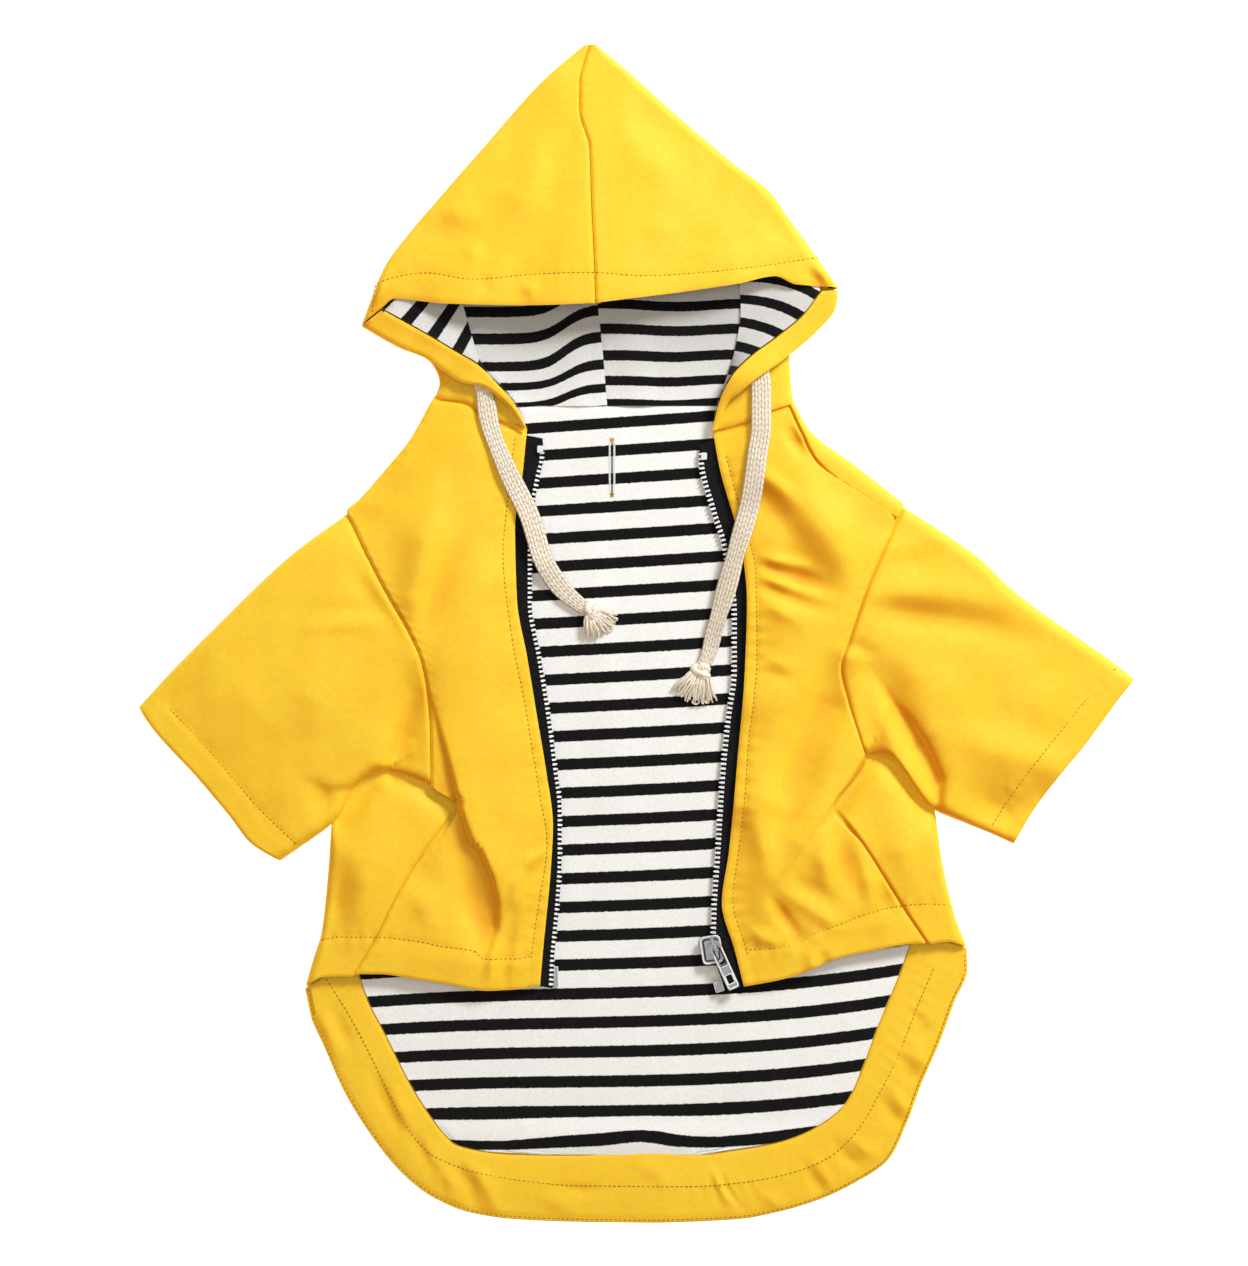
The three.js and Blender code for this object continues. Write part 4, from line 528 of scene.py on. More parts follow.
def shell(name, grid, wall, materials, uv=None, ring=False, inner=None, sunk=1.0):
    """A closed cloth wall from a grid of outside points, with an amount of painted shade at each point."""
    rows, cols = grid.shape[:2]
    if inner is None:
        n = normals_of(grid, ring)
        if n[rows // 2, cols // 4, 2] < 0:
            n = -n
        inner = grid - n * wall
    points = np.concatenate([grid.reshape(-1, 3), inner.reshape(-1, 3)])
    count = rows * cols
    outer_faces = grid_faces(rows, cols, ring, 0, False)
    inner_faces = grid_faces(rows, cols, ring, count, True)
    rim = []
    for j in range(cols if ring else cols - 1):
        k = (j + 1) % cols
        rim.append((j, k, count + k, count + j))
        a, b = (rows - 1) * cols + j, (rows - 1) * cols + k
        rim.append((b, a, count + a, count + b))
    if not ring:
        for i in range(rows - 1):
            rim.append(((i + 1) * cols, i * cols, count + i * cols, count + (i + 1) * cols))
            a, b = i * cols + cols - 1, (i + 1) * cols + cols - 1
            rim.append((a, b, count + b, count + a))
    faces = np.concatenate([outer_faces, inner_faces, np.array(rim)])
    a, b, c, d = (points[faces[:, k]] for k in range(4))
    if float((a * np.cross(b, c)).sum() + (a * np.cross(c, d)).sum()) < 0:
        faces = faces[:, ::-1]
    slots = np.zeros(len(faces), np.int32)
    slots[len(outer_faces): len(outer_faces) + len(inner_faces)] = len(materials) - 1
    flat_uv = (grid[..., :2] / STRIPE if uv is None else uv).reshape(-1, 2)
    # Painted shade amount: deeper in the troughs, scaled by the given strength, or as given; the inside faces all get a
    # middling painted shade of 0.5.
    painted_shade_value = sunk * hollow(grid) if np.isscalar(sunk) else sunk
    painted_shade_amount = np.concatenate([painted_shade_value, np.full(painted_shade_value.shape, 0.5)]).reshape(-1)
    return make_mesh(name, points, faces, materials, np.concatenate([flat_uv, flat_uv]), slots, painted_shade_amount=painted_shade_amount)


def hollow(grid, cells=5):
    """From 0 on open cloth to 1 in the troughs."""
    z = grid[..., 2]
    low = np.zeros(z.shape)
    for wide, full in ((cells, 2.0), (2 * cells, 3.4)):
        mean = spread(spread(z, wide, np.mean).T, wide, np.mean).T
        low += np.clip((mean - z) / full, 0, 1) / 2
    return spread(spread(low, 1, np.mean).T, 1, np.mean).T


def spread(values, half, pick):
    """A sliding mean or maximum along the last axis."""
    pad = [(0, 0)] * (values.ndim - 1) + [(half, half)]
    padded = np.pad(values, pad, mode="edge")
    return pick(np.lib.stride_tricks.sliding_window_view(padded, 2 * half + 1, axis=-1), axis=-1)


def reaches(grid):
    """Distance in plan of each grid point from the four edges: left, right, top, bottom."""
    across, down = size(np.diff(grid, axis=1)), size(np.diff(grid, axis=0))
    left = np.concatenate([np.zeros((grid.shape[0], 1)), np.cumsum(across, 1)], 1)
    top = np.concatenate([np.zeros((1, grid.shape[1])), np.cumsum(down, 0)], 0)
    return left, left[:, -1:] - left, top, top[-1:] - top


def stations(length, cell=CELL):
    return np.linspace(0, 1, max(3, int(round(length / cell)) + 1))


EDGE_STEPS = np.array([0.0, 0.35, 0.75, 1.2, 1.7, 2.3, 3.0, 3.9])


def edged(length, high=True):
    """Stations with closer steps next to sewn or turned edges."""
    start = EDGE_STEPS / length
    stop = 1 - start[::-1] if high else np.array([1.0])
    count = max(3, int(round((stop[0] - start[-1]) * length / CELL)) + 1)
    return np.concatenate([start[:-1], np.linspace(start[-1], stop[0], count), stop[1:]])


def lap_fall(d):
    return LAP_DROP * fading(d - UNDER_LAP - 0.35, 0.28)


def seam_drop(grid, kinds):
    """Pulls the cloth down at its edges: s is sewn, f turned, u runs on under its neighbour, - is left."""
    fall = {"s": lambda d: 0.6 * bell(d, 0.85), "f": lambda d: 0.4 * bell(d, 0.8), "u": lap_fall}
    for d, kind in zip(reaches(grid[..., :2]), kinds):
        if kind in fall:
            grid[..., 2] -= fall[kind](d)
    return grid


BENDS = np.radians(np.arange(0.0, 76.0, 15.0))


def folded_panel(plan, across, under, down, kinds="----"):
    """The top layer from s = 0, round the fold at s = 1, and back underneath."""
    rows = []
    for t in down:
        width = float(size(plan(1.0, t) - plan(0.0, t)))
        radius = min(FOLD_RADIUS, 0.45 * width)
        flat = 1 - radius / width
        turn = 1 - radius * (1 - np.cos(BENDS)) / width
        s, low = np.concatenate([across * flat, turn[::-1]]), np.concatenate([turn[1:], under * flat])
        rise = np.concatenate([np.ones(len(across)), np.sin(BENDS[::-1])])
        fall = np.concatenate([np.sin(BENDS[1:]), np.ones(len(under))])
        a, b = plan(s, np.full(s.shape, t)), plan(low, np.full(low.shape, t))
        ha, hb = top_height(a[:, 0], a[:, 1]), top_height(b[:, 0], b[:, 1])
        rows.append(np.concatenate([raised(a, ha / 2 + ha / 2 * rise), raised(b, hb / 2 - hb / 2 * fall)]))
    grid = np.array(rows)
    tops = len(across) + len(BENDS)
    grid[:, :tops] = seam_drop(grid[:, :tops], kinds)
    return grid


def plate(name, outline, z, thick, material):
    """A flat sheet with an outline in plan."""
    pts = [Vector((x, y, 0)) for x, y in outline]
    n = len(pts)
    points = [(p.x, p.y, z + thick) for p in pts] + [(p.x, p.y, z) for p in pts]
    area = sum(pts[i].x * pts[(i + 1) % n].y - pts[(i + 1) % n].x * pts[i].y for i in range(n))
    faces = []
    for tri in tessellate_polygon([pts]):
        a, b, c = (pts[k] for k in tri)
        tri = tuple(tri) if (b - a).cross(c - a).z > 0 else tuple(reversed(tri))
        faces += [tri, tuple(k + n for k in reversed(tri))]
    for i in range(n):
        k = (i + 1) % n
        faces.append((i, i + n, k + n, k) if area > 0 else (k, k + n, i + n, i))
    return make_mesh(name, points, faces, [material], [(p[0] / 100, p[1] / 100) for p in points])


def surface_area(grid):
    a, b, c, d = grid[:-1, :-1], grid[:-1, 1:], grid[1:, 1:], grid[1:, :-1]
    return float((size(np.cross(b - a, c - a)) + size(np.cross(c - a, d - a))).sum() / 2)


def puckered(grid, sides, high=0.16):
    """Small uneven gathers along sewn edges."""
    left, right, top, bottom = reaches(grid[..., :2])
    for side, far, run in (("l", left, top), ("r", right, top), ("t", top, left), ("b", bottom, left)):
        if side in sides:
            wave = np.sin(run * math.tau / 6.1 + 1.4 * np.sin(run / 13)) * (0.6 + 0.4 * np.sin(run / 19 + 1))
            grid[..., 2] += high * wave * bell(far - 1.5, 4.5)
    return grid


def turned(grid, far, wide):
    """The double cloth of a turned edge, up to its line of stitches."""
    grid[..., 2] += 0.35 * fading(far - wide, 0.5)
    return grid


def top_panel(plan, s, t, kinds="sfuf"):
    xy = plan(s[None, :], t[:, None])
    return seam_drop(raised(xy, top_height(xy[..., 0], xy[..., 1])), kinds)


# Materials
class Nodes:
    """Short calls for building one material's nodes."""

    def __init__(self, name):
        self.material = bpy.data.materials.new(name)
        self.material.use_nodes = True
        self.tree = self.material.node_tree
        self.shader = self.tree.nodes["Principled BSDF"]

    def give(self, socket, value):
        if isinstance(value, bpy.types.NodeSocket):
            self.tree.links.new(value, socket)
        elif value is not None:
            socket.default_value = value

    def add(self, kind, *inputs, **settings):
        node = self.tree.nodes.new("ShaderNode" + kind)
        for key, value in settings.items():
            setattr(node, key, value)
        for i, value in enumerate(inputs):
            self.give(node.inputs[i], value)
        return node

    def math(self, operation, a, b=None, c=None):
        return self.add("Math", a, b, c, operation=operation).outputs[0]

    def span(self, value, low, high, most=1.0):
        return self.add("MapRange", value, low, high, 0.0, most).outputs[0]

    def axes(self, vector):
        return self.add("SeparateXYZ", vector).outputs

    def place(self):
        return self.add("TexCoord").outputs["Object"]

    def flat(self):
        return self.axes(self.add("UVMap", uv_map="cloth").outputs[0])

    def facing(self):
        return self.axes(self.add("NewGeometry").outputs["Normal"])

    def noise(self, scale, detail=2.0):
        node = self.add("TexNoise", self.place())
        node.inputs["Scale"].default_value = scale
        node.inputs["Detail"].default_value = detail
        return node.outputs["Fac"]

    def ramp(self, factor, dark, light, low=0.3):
        """From a dark to a light screen colour."""
        node = self.add("ValToRGB", factor)
        for element, at, colour in zip(node.color_ramp.elements, (low, 1 - low), (dark, light)):
            element.position = at
            element.color = (*linear(*colour), 1)
        return node.outputs[0]

    def mix(self, factor, a, b, blend="MIX"):
        node = self.add("Mix", factor, data_type="RGBA", blend_type=blend)
        for at, colour in ((6, a), (7, b)):
            self.give(node.inputs[at], colour if isinstance(colour, bpy.types.NodeSocket) else (*colour, 1))
        return node.outputs[2]

    def weave(self, pitch):
        """Fine plain weave: threads over and under each other, pitch in metres."""
        a, b, _ = (self.math("SINE", self.math("MULTIPLY", axis, math.tau / pitch)) for axis in self.axes(self.place()))
        return self.math("MULTIPLY", a, b)

    def set(self, **values):
        for key, value in values.items():
            self.give(self.shader.inputs[key.replace("_", " ")], value)

    def bump(self, *layers):
        """Layers of (height, distance in metres, strength), coarse first."""
        normal = None
        for height, distance, strength in layers:
            node = self.add("Bump")
            for key, value in (("Strength", strength), ("Distance", distance), ("Height", height), ("Normal", normal)):
                self.give(node.inputs[key], value)
            normal = node.outputs[0]
        self.set(Normal=normal)


def linear(r, g, b):
    """A colour as seen on screen, 0 to 255, as the shader's linear value."""
    return tuple((v / 255 / 12.92) if v < 10 else ((v / 255 + 0.055) / 1.055) ** 2.4 for v in (r, g, b))


def dimmer(colour, share):
    return tuple(v * share for v in colour)


def cloth_yellow(name):
    n = Nodes(name)
    grain = n.noise(420)
    base = n.ramp(n.noise(14, 3), (251, 201, 40), (255, 210, 50))
    open_colour = n.mix(0.3, base, n.ramp(grain, (245, 192, 34), (255, 214, 58), 0.35))
    # Painted shade: the cloth turns deep orange (240, 132, 0) where its normal leans away from the key light, less on
    # steep walls, and in its troughs by the painted shade amount of each point.
    x, y, z = n.facing()
    lean = n.math("MULTIPLY_ADD", x, -0.6, n.math("MULTIPLY", y, -0.8))
    painted_shade_away = n.math("MULTIPLY", n.span(lean, 0.03, 0.66, 0.85), n.span(z, 0.25, 0.75))
    sunk = n.span(n.add("Attribute", attribute_name="painted_shade_amount").outputs["Fac"], 0.1, 0.9, 0.68)
    shade = n.mix(n.math("MAXIMUM", painted_shade_away, sunk), open_colour, linear(240, 132, 0))
    n.set(Base_Color=shade, Roughness=n.math("MULTIPLY_ADD", grain, 0.18, 0.42))
    n.set(Sheen_Weight=0.02, Sheen_Roughness=0.5, Specular_IOR_Level=0.22)
    n.bump((n.noise(90, 3), 0.0006, 0.16), (n.weave(0.0011), 0.00012, 0.35), (grain, 0.0002, 0.25))
    return n.material


def cloth_striped(name):
    n = Nodes(name)
    fibre = n.noise(900)
    wobble = n.math("MULTIPLY_ADD", n.noise(600), 0.05, -0.025)
    run = n.math("FRACT", n.math("ADD", n.math("ADD", n.flat()[1], wobble), 1000.5))
    off = n.math("ABSOLUTE", n.math("SUBTRACT", run, 0.5))
    edge = n.span(off, BLACK_SHARE / 2 - 0.012, BLACK_SHARE / 2 + 0.012)
    black, white = n.ramp(fibre, (6, 6, 7), (20, 20, 21)), n.ramp(fibre, (238, 238, 237), (250, 250, 249))
    # Painted shade: the lining is dimmed towards warm grey by the painted shade amount of each point.
    painted_shade_value = n.add("Attribute", attribute_name="painted_shade_amount").outputs["Fac"]
    painted_shade_grey = n.mix(painted_shade_value, linear(255, 255, 255), linear(186, 182, 180))
    n.set(Base_Color=n.mix(1.0, n.mix(edge, black, white), painted_shade_grey, "MULTIPLY"), Roughness=0.92)
    n.set(Sheen_Weight=0.04, Sheen_Roughness=0.6, Specular_IOR_Level=0.15)
    n.bump((n.noise(90, 3), 0.0006, 0.16), (n.weave(0.0016), 0.0002, 0.22), (fibre, 0.0002, 0.25))
    return n.material


def cloth_tape(name):
    n = Nodes(name)
    fibre = n.noise(800)
    rib = n.math("SINE", n.math("MULTIPLY", n.axes(n.place())[1], math.tau / 0.0012))
    n.set(Base_Color=n.ramp(fibre, (6, 6, 9), (24, 25, 30)), Roughness=0.85)
    n.set(Sheen_Weight=0.04, Sheen_Roughness=0.5, Specular_IOR_Level=0.2)
    n.bump((rib, 0.0003, 0.5), (fibre, 0.0003, 0.5))
    return n.material


def metal_silver(name, face, rim, flank_painted_shade, metallic):
    """Polished metal: grey faces, with a bright painted highlight on the rounded rims and dark painted shade on the
    walls.
    """
    n = Nodes(name)
    worn = n.noise(350, 3)
    upward = n.math("ABSOLUTE", n.facing()[2])
    level = n.span(upward, 0.93, 0.99)
    top = n.ramp(worn, dimmer(face, 0.86), face, 0.35)
    # Painted light by facing: walls get the dark flank colour as painted shade, sloping rims the bright rim colour as
    # painted highlight.
    n.set(Base_Color=n.mix(n.span(upward, 0.2, 0.42), linear(*flank_painted_shade), n.mix(level, linear(*rim), top)))
    n.set(Metallic=n.math("MULTIPLY", level, metallic))
    n.set(Roughness=n.math("MULTIPLY_ADD", worn, 0.14, 0.24))
    n.bump((n.noise(180), 0.0004, 0.25), (worn, 0.0001, 0.2))
    return n.material


def cotton(name, dark, light, pitch=0.0009):
    n = Nodes(name)
    fibre = n.noise(900, 3)
    n.set(Base_Color=n.ramp(fibre, dark, light), Roughness=0.95)
    n.set(Sheen_Weight=0.25, Sheen_Roughness=0.5, Specular_IOR_Level=0.2)
    n.bump((n.weave(pitch), 0.0002, 0.3), (fibre, 0.0003, 0.6))
    return n.material


def plain_plastic(name, colour):
    n = Nodes(name)
    mark = n.noise(500)
    n.set(Base_Color=n.ramp(mark, dimmer(colour, 0.93), colour))
    n.set(Roughness=n.math("MULTIPLY_ADD", mark, 0.2, 0.3))
    n.bump((mark, 0.0001, 0.2))
    return n.material


PLAIT = 6
PLAIT_LONG = 2.9


def braid_cotton(name, dark, light, painted_gap_shade):
    """Plaited cord: rows of small V-shaped plaits, with darker painted shade between them."""
    n = Nodes(name)
    fibre = n.noise(900, 3)
    over, length, _ = n.flat()
    column = n.math("MULTIPLY_ADD", over, PLAIT, PLAIT / 2)
    run = n.math("MULTIPLY_ADD", n.math("PINGPONG", column, 1.0), 0.7, n.math("MULTIPLY", length, 10 / PLAIT_LONG))
    cross = n.math("MULTIPLY", n.math("PINGPONG", run, 0.5), 1.3)
    near = n.math("MINIMUM", cross, n.math("PINGPONG", column, 0.5))
    open_part = n.span(n.math("MULTIPLY_ADD", fibre, 0.12, near), 0.08, 0.26)
    # Painted shade: the gaps between plaits take the darker gap colour.
    n.set(Base_Color=n.mix(open_part, linear(*painted_gap_shade), n.ramp(fibre, dark, light)), Roughness=0.95)
    n.set(Sheen_Weight=0.2, Sheen_Roughness=0.5, Specular_IOR_Level=0.2)
    n.bump((open_part, 0.0004, 0.5), (fibre, 0.0003, 0.5))
    return n.material


YELLOW = cloth_yellow("yellow_coated_cloth")
STRIPED = cloth_striped("striped_lining")
TAPE = cloth_tape("black_zip_tape")
# Painted light on the metals: silver has painted highlights on its rims and painted shade on its walls, tooth metal
# painted shade on its walls; the bright white metal is painted highlight all over and the near-black metal painted
# shadow all over.
SILVER = metal_silver("silver_metal", (134, 135, 138), (252, 252, 253), (14, 14, 16), 0.8)
PAINTED_HIGHLIGHT_METAL = metal_silver("painted_highlight_metal", (250, 250, 252), (250, 250, 252), (110, 110, 114), 0.1)
PAINTED_SHADOW_METAL = metal_silver("painted_shadow_metal", (14, 14, 16), (14, 14, 16), (9, 9, 10), 0.1)
TEETH = metal_silver("tooth_metal", (246, 247, 250), (246, 247, 250), (70, 70, 74), 0.3)
CREAM = cotton("cream_strands", (234, 220, 202), (255, 246, 230))
# The plait's last colour is the painted shade between its plaits.
BRAID = braid_cotton("cream_plait", (236, 222, 204), (255, 247, 232), (190, 170, 142))
THREAD = cotton("yellow_thread", (150, 102, 14), (196, 142, 30), 0.0004)
WHITE_THREAD = cotton("white_thread", (225, 225, 222), (250, 250, 248), 0.0004)
GOLD_THREAD = cotton("gold_thread", (186, 150, 70), (222, 186, 104), 0.0004)
WHITE_PLASTIC = plain_plastic("white_stop", (236, 236, 234))


# Pieces: each cloth piece keeps the form of its solid and replaces it
def whole(name, parts, *nodes, slot="shell", body="garment"):
    """Joins parts into one piece, gives it its body and replaces solids; slot is not used."""
    first = parts[0]
    if len(parts) > 1:
        with bpy.context.temp_override(active_object=first, selected_editable_objects=parts):
            bpy.ops.object.join()
    first.name = name
    first.data.name = name
    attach(first, body)
    if nodes:
        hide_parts(*nodes)
    return first


def cloth(name, grid, wall, materials, slot="shell", **look):
    return whole(name + "_cloth", [shell(name + "_part", grid, wall, materials, **look)], name, slot=slot)


def of(part, hand):
    return OUTLINES[f"{part}_{hand}"]


LINED = [YELLOW, STRIPED]
MIRROR = np.array([1, -1]) / STRIPE
HEM_TURN = 15.0

for hand in HANDS:
    edges = of("front_out", hand), of("front_in", hand)
    outer, inner = (moved(rows[:1], 0, UNDER_LAP) + rows[1:] for rows in edges)
    neck = line(moved(of("neck", hand), 0, NECK_LAP))
    plan = patch(neck, line(of("front_hem", hand)), line(outer, "y"), line(inner, "y"))
    grid = top_panel(plan, edged(FRONT_WIDE), edged(FRONT_LONG))
    grid = turned(puckered(grid, "l"), reaches(grid[..., :2])[3], HEM_TURN)
    piece = cloth(f"front_{hand}", grid, SHELL_WALL, LINED, uv=grid[..., :2] * MIRROR)


# Sleeves: flattened tubes, open at the cuff, their lining turned in behind a yellow hem
def sleeve_grid(side, armhole, top, low, cuff):
    shift = (-side * UNDER_LAP, 0)
    start, stop = [(r[0] + shift[0], r[1]) for r in (top[0], low[0])]
    plan = patch(line(armhole, shift=shift), line(cuff), line([start, *top[1:]]), line([stop, *low[1:]]))
    across = stations(SLEEVE_WIDE)
    rings = []
    for t in edged(SLEEVE_LONG):
        width = float(size(plan(1.0, t) - plan(0.0, t)))
        r = min(FOLD_RADIUS, 0.4 * width) / width
        turn = r * (1 - np.cos(BENDS))
        s = np.concatenate([turn, r + across * (1 - 2 * r), 1 - turn[::-1]])
        rise = np.concatenate([np.sin(BENDS), np.ones(len(across)), np.sin(BENDS[::-1])])
        xy = plan(s, np.full(s.shape, t))
        fall = lap_fall(t * SLEEVE_LONG) + 0.5 * bell((1 - t) * SLEEVE_LONG, 0.9)
        high = top_height(xy[:, 0], xy[:, 1]) - fall
        low_side = raised(xy, high / 2 * (1 - rise))[1:-1][::-1]
        rings.append(np.concatenate([raised(xy, high / 2 + high / 2 * rise), low_side]))
    return np.array(rings)


for hand, side in HANDS.items():
    grid = sleeve_grid(side, *(of(part, hand) for part in ("armhole", "sleeve_top", "sleeve_low", "cuff")))
    rows, cols = grid.shape[:2]
    length = run_along(grid[:, cols // 4])
    cuff_far = (length[-1] - length)[:, None]
    over = grid[..., 2] > 3
    grid[..., 2] += np.where(over, 0.35 * fading(cuff_far - CUFF_HEM, 0.5), 0)
    # Half-strength painted shade in the sleeve troughs.
    piece = cloth(f"sleeve_{hand}", grid, SHELL_WALL, LINED, uv=grid[..., :2] * MIRROR, ring=True, sunk=0.5)
    first_hem = (rows - int((cuff_far < CUFF_HEM).sum())) * cols
    for face in piece.data.polygons:
        if face.material_index == 1 and min(face.vertices) % (rows * cols) >= first_hem:
            face.material_index = 0


# Back: the flat underside, the sides wrapped forward and a strip over each shoulder
TUCK_REACH = 7.0
LINING_REACH = 118.0
OVER_LINING = 3.7
ARM_LAP = {-1: 5.0, 1: 3.0}


def folded_piece(name, plan, width, length, kinds, tuck=None, level=1.0):
    across = edged(width, high=False)
    grid = folded_panel(plan, across, np.linspace(1, 0.6, 6), edged(length), kinds)
    grid[..., 2] *= level
    if tuck is not None:
        grid[..., 2] *= 1 - 0.62 * bell(along(sample(tuck, 39), grid[..., 0], grid[..., 1])[0], TUCK_REACH)
        tops = grid[:, :len(across)]
        over_lining = np.abs(tops[..., 0]) < LINING_REACH
        tops[..., 2] = np.where(over_lining, np.maximum(tops[..., 2], OVER_LINING), tops[..., 2])
    # Quarter-strength painted shade in the troughs of the back pieces.
    return shell(name, grid, SHELL_WALL, LINED, grid[..., :2] * MIRROR, sunk=0.25), surface_area(grid)


def side_plan(side, fold, seam, underarm, hem):
    seam_line = lapped(seam, -side * UNDER_LAP)
    arm_line = lapped(underarm, side * ARM_LAP[side])
    corner = tuple(np.array(seam_line[0]) + np.array(arm_line[0]) - np.array(underarm[0]))
    edges = ([corner, *arm_line[3:]], [seam_line[-1], *hem[1:]], [corner, *seam_line[3:]], [arm_line[-1], *fold[1:]])
    return patch(*map(line, edges))


def strip_plan(inner, outer, shift=(0, 0)):
    """A strip between two lines, with straight ends."""
    ends = (between(line(inner)(t), line(outer)(t)) for t in (0, 1))
    return patch(*ends, line(inner), line(outer, shift=shift))


parts = []
for hand, width, long in (("left", 42, 86), ("right", 36, 72)):
    edges = [of(part, hand) for part in ("side_fold", "side_seam", "underarm", "side_hem")]
    parts.append(folded_piece(f"side_{hand}", side_plan(HANDS[hand], *edges), width, long, "u--f", edges[2]))
shoulder_fold = OUTLINES["shoulder_fold"]
shoulder_plan = strip_plan(lapped(OUTLINES["shoulder_seam"], -UNDER_LAP), shoulder_fold, (0, -0.4))
parts.append(folded_piece("shoulder", shoulder_plan, 10, 75, "u---"))
left_turn = moved(OUTLINES["front_out_left"][:5], 0.4, 0)
parts.append(folded_piece("left_turn", strip_plan(lapped(left_turn, 7.0), left_turn), 7, 72, "----", level=0.8))
scoop = [*OUTLINES["scoop_left"], *OUTLINES["scoop_right"][::-1][1:]]
border = [*OUTLINES["border_left"], *OUTLINES["border_right"][::-1][1:]]
back_outline = [
    (-102, NECK_LOW - 0.4), (-112, 98.75), (-125, 82.25), (-139, 66.75),
    *sample(of("armhole", "left"), 24, shift=(0.6, 0)),
    *sample(of("underarm", "left"), 12, 0.15, shift=(1, -0.5)),
    *sample(of("side_fold", "left"), 12, 0.1, shift=(1.5, 0)),
    *sample(of("scoop", "left"), 60),
    *sample(of("scoop", "right"), 60)[::-1][1:],
    *sample(of("side_fold", "right"), 12, 0.1, shift=(-1.5, 0))[::-1],
    *sample(of("underarm", "right"), 12, 0.3, shift=(-1, -0.5))[::-1],
    *sample(of("armhole", "right"), 24, shift=(-0.6, 0))[::-1],
    *sample(shoulder_fold, 12, 0.02, shift=(-1.5, -1))[::-1],
    (77, NECK_LOW - 0.4),
]
under = plate("back_under", back_outline, 0, UNDER_WALL, YELLOW)
back = whole("back_outer_cloth", [under, *(piece for piece, _ in parts)], "back_outer")


# Hood halves: the top layer, the cheek below it and the underside
def hood_piece(name, side, slope, mouth, cheek_out, cheek_in, neck):
    centre_rows = OUTLINES["hood_centre"]
    shift = UNDER_LAP if side < 0 else SEAM_GAP / 2
    centre, edge = line(centre_rows, shift=(shift, 0)), line(slope)
    mouth_line = line([*moved(mouth[-1:], shift, 0), *mouth[:-1][::-1]])
    upper = patch(between(centre(0), edge(0)), mouth_line, centre, edge)
    across = edged(HOOD_WIDE, high=False)
    kinds = "u--f" if side < 0 else "s--f"
    grid = folded_panel(upper, across, np.linspace(1, 0.75, 5), stations(HOOD_LONG), kinds)
    cols = len(across) + len(BENDS)
    grid[:, :cols] = puckered(grid[:, :cols], "l", 0.1)
    cap = shell(name + "_cap", grid, SHELL_WALL, LINED)
    neck_edge = line(neck[::-1], shift=(0, SEAM_GAP))
    corner = between(line(cheek_in)(0), line(cheek_out)(0))
    plan = patch(corner, neck_edge, line(cheek_in), line(cheek_out))
    across = stations(CHEEK_WIDE)
    low_grid = folded_panel(plan, across, np.linspace(1, 0.5, 6), stations(CHEEK_LONG), "---s")
    flat = low_grid[:, len(across) + len(BENDS):]
    flat[..., 1] = np.where(flat[..., 2] < 1, np.maximum(flat[..., 1], NECK_LOW), flat[..., 1])
    cheek = shell(name + "_cheek", low_grid, SHELL_WALL, LINED)
    half_gap = side * SEAM_GAP / 2
    low = [
        *sample(centre_rows, 16, 0.03, shift=(half_gap, 0)),
        (centre_rows[-1][0] + half_gap, NECK_LOW),
        (neck_edge(1)[0] - side * 2.5, NECK_LOW),
        *moved(sample(cheek_out, 18)[::-1], -side * 2.5, 0),
        *moved(sample(slope, 28, 0.04)[::-1], -side * 1.5, -1),
    ]
    base = plate(name + "_under", low, 0, UNDER_WALL, YELLOW)
    piece = whole(name + "_cloth", [cap, cheek, base], name)


for hand, side in HANDS.items():
    edges = (of(part, hand) for part in ("hood_slope", "mouth", "cheek_out", "cheek_in", "neck"))
    hood_piece(f"hood_{hand}", side, *edges)

# Yellow casing on the turned cheeks, lifted where the drawcord comes out
BAND_CLEAR = 0.7
BAND_WALL = 2.2
BAND_LIFT = 3.4
CORD_LEAVES = {"left": 0.72, "right": 0.66}


def band_height(x, y, t, leave):
    return top_height(x, y) + BAND_CLEAR + BAND_WALL + BAND_LIFT * np.exp(-((t - leave) ** 2) / (2 * 0.16**2))


for hand, leave in CORD_LEAVES.items():
    t = 0.02 + 0.98 * stations(95, 1.0)[:, None]
    a, b = (line(of(part, hand))(t[:, 0])[:, None] for part in ("facing_low", "facing_up"))
    xy = a + stations(9, 0.8)[None, :, None] * (b - a)
    left, right, _, _ = reaches(xy)
    z = band_height(xy[..., 0], xy[..., 1], t, leave) - (0.7 * bell(left, 1.1) + 0.5 * bell(right, 0.9))
    grid = raised(xy, z)
    piece = cloth(f"hood_facing_{hand}", grid, BAND_WALL, [YELLOW], inner=grid - [0, 0, BAND_WALL])

# Striped hood lining: deep inside the hood, and a strip up each cheek
HOOD_LINING_TOP = 196.75
PHASE_VALLEY = [(161.25, 0), (147.75, 1), (133.25, 2), (123.75, 3), (113.75, 4)]
PHASE_SEAM = [(162.75, 1), (149.25, 2), (135.25, 3), (123.25, 4), (112.5, 5)]
PHASE_RIGHT = [(165, 0), (152.5, 1), (139, 2), (126.25, 3), (115, 4)]


def level_phase(table, y):
    """Stripe number at a level, from a table of (y, number), carried on in line beyond its ends."""
    ys, ps = zip(*sorted(table))
    above = ps[-1] + (y - ys[-1]) * (ps[-1] - ps[-2]) / (ys[-1] - ys[-2])
    below = ps[0] + (y - ys[0]) * (ps[1] - ps[0]) / (ys[1] - ys[0])
    return np.where(y > ys[-1], above, np.where(y < ys[0], below, np.interp(y, ys, ps)))


def edge_x(rows, y):
    """Sideways place of a line that runs down the page, at the levels y."""
    return np.interp(-y, [-r[1] for r in rows], [r[0] for r in rows])


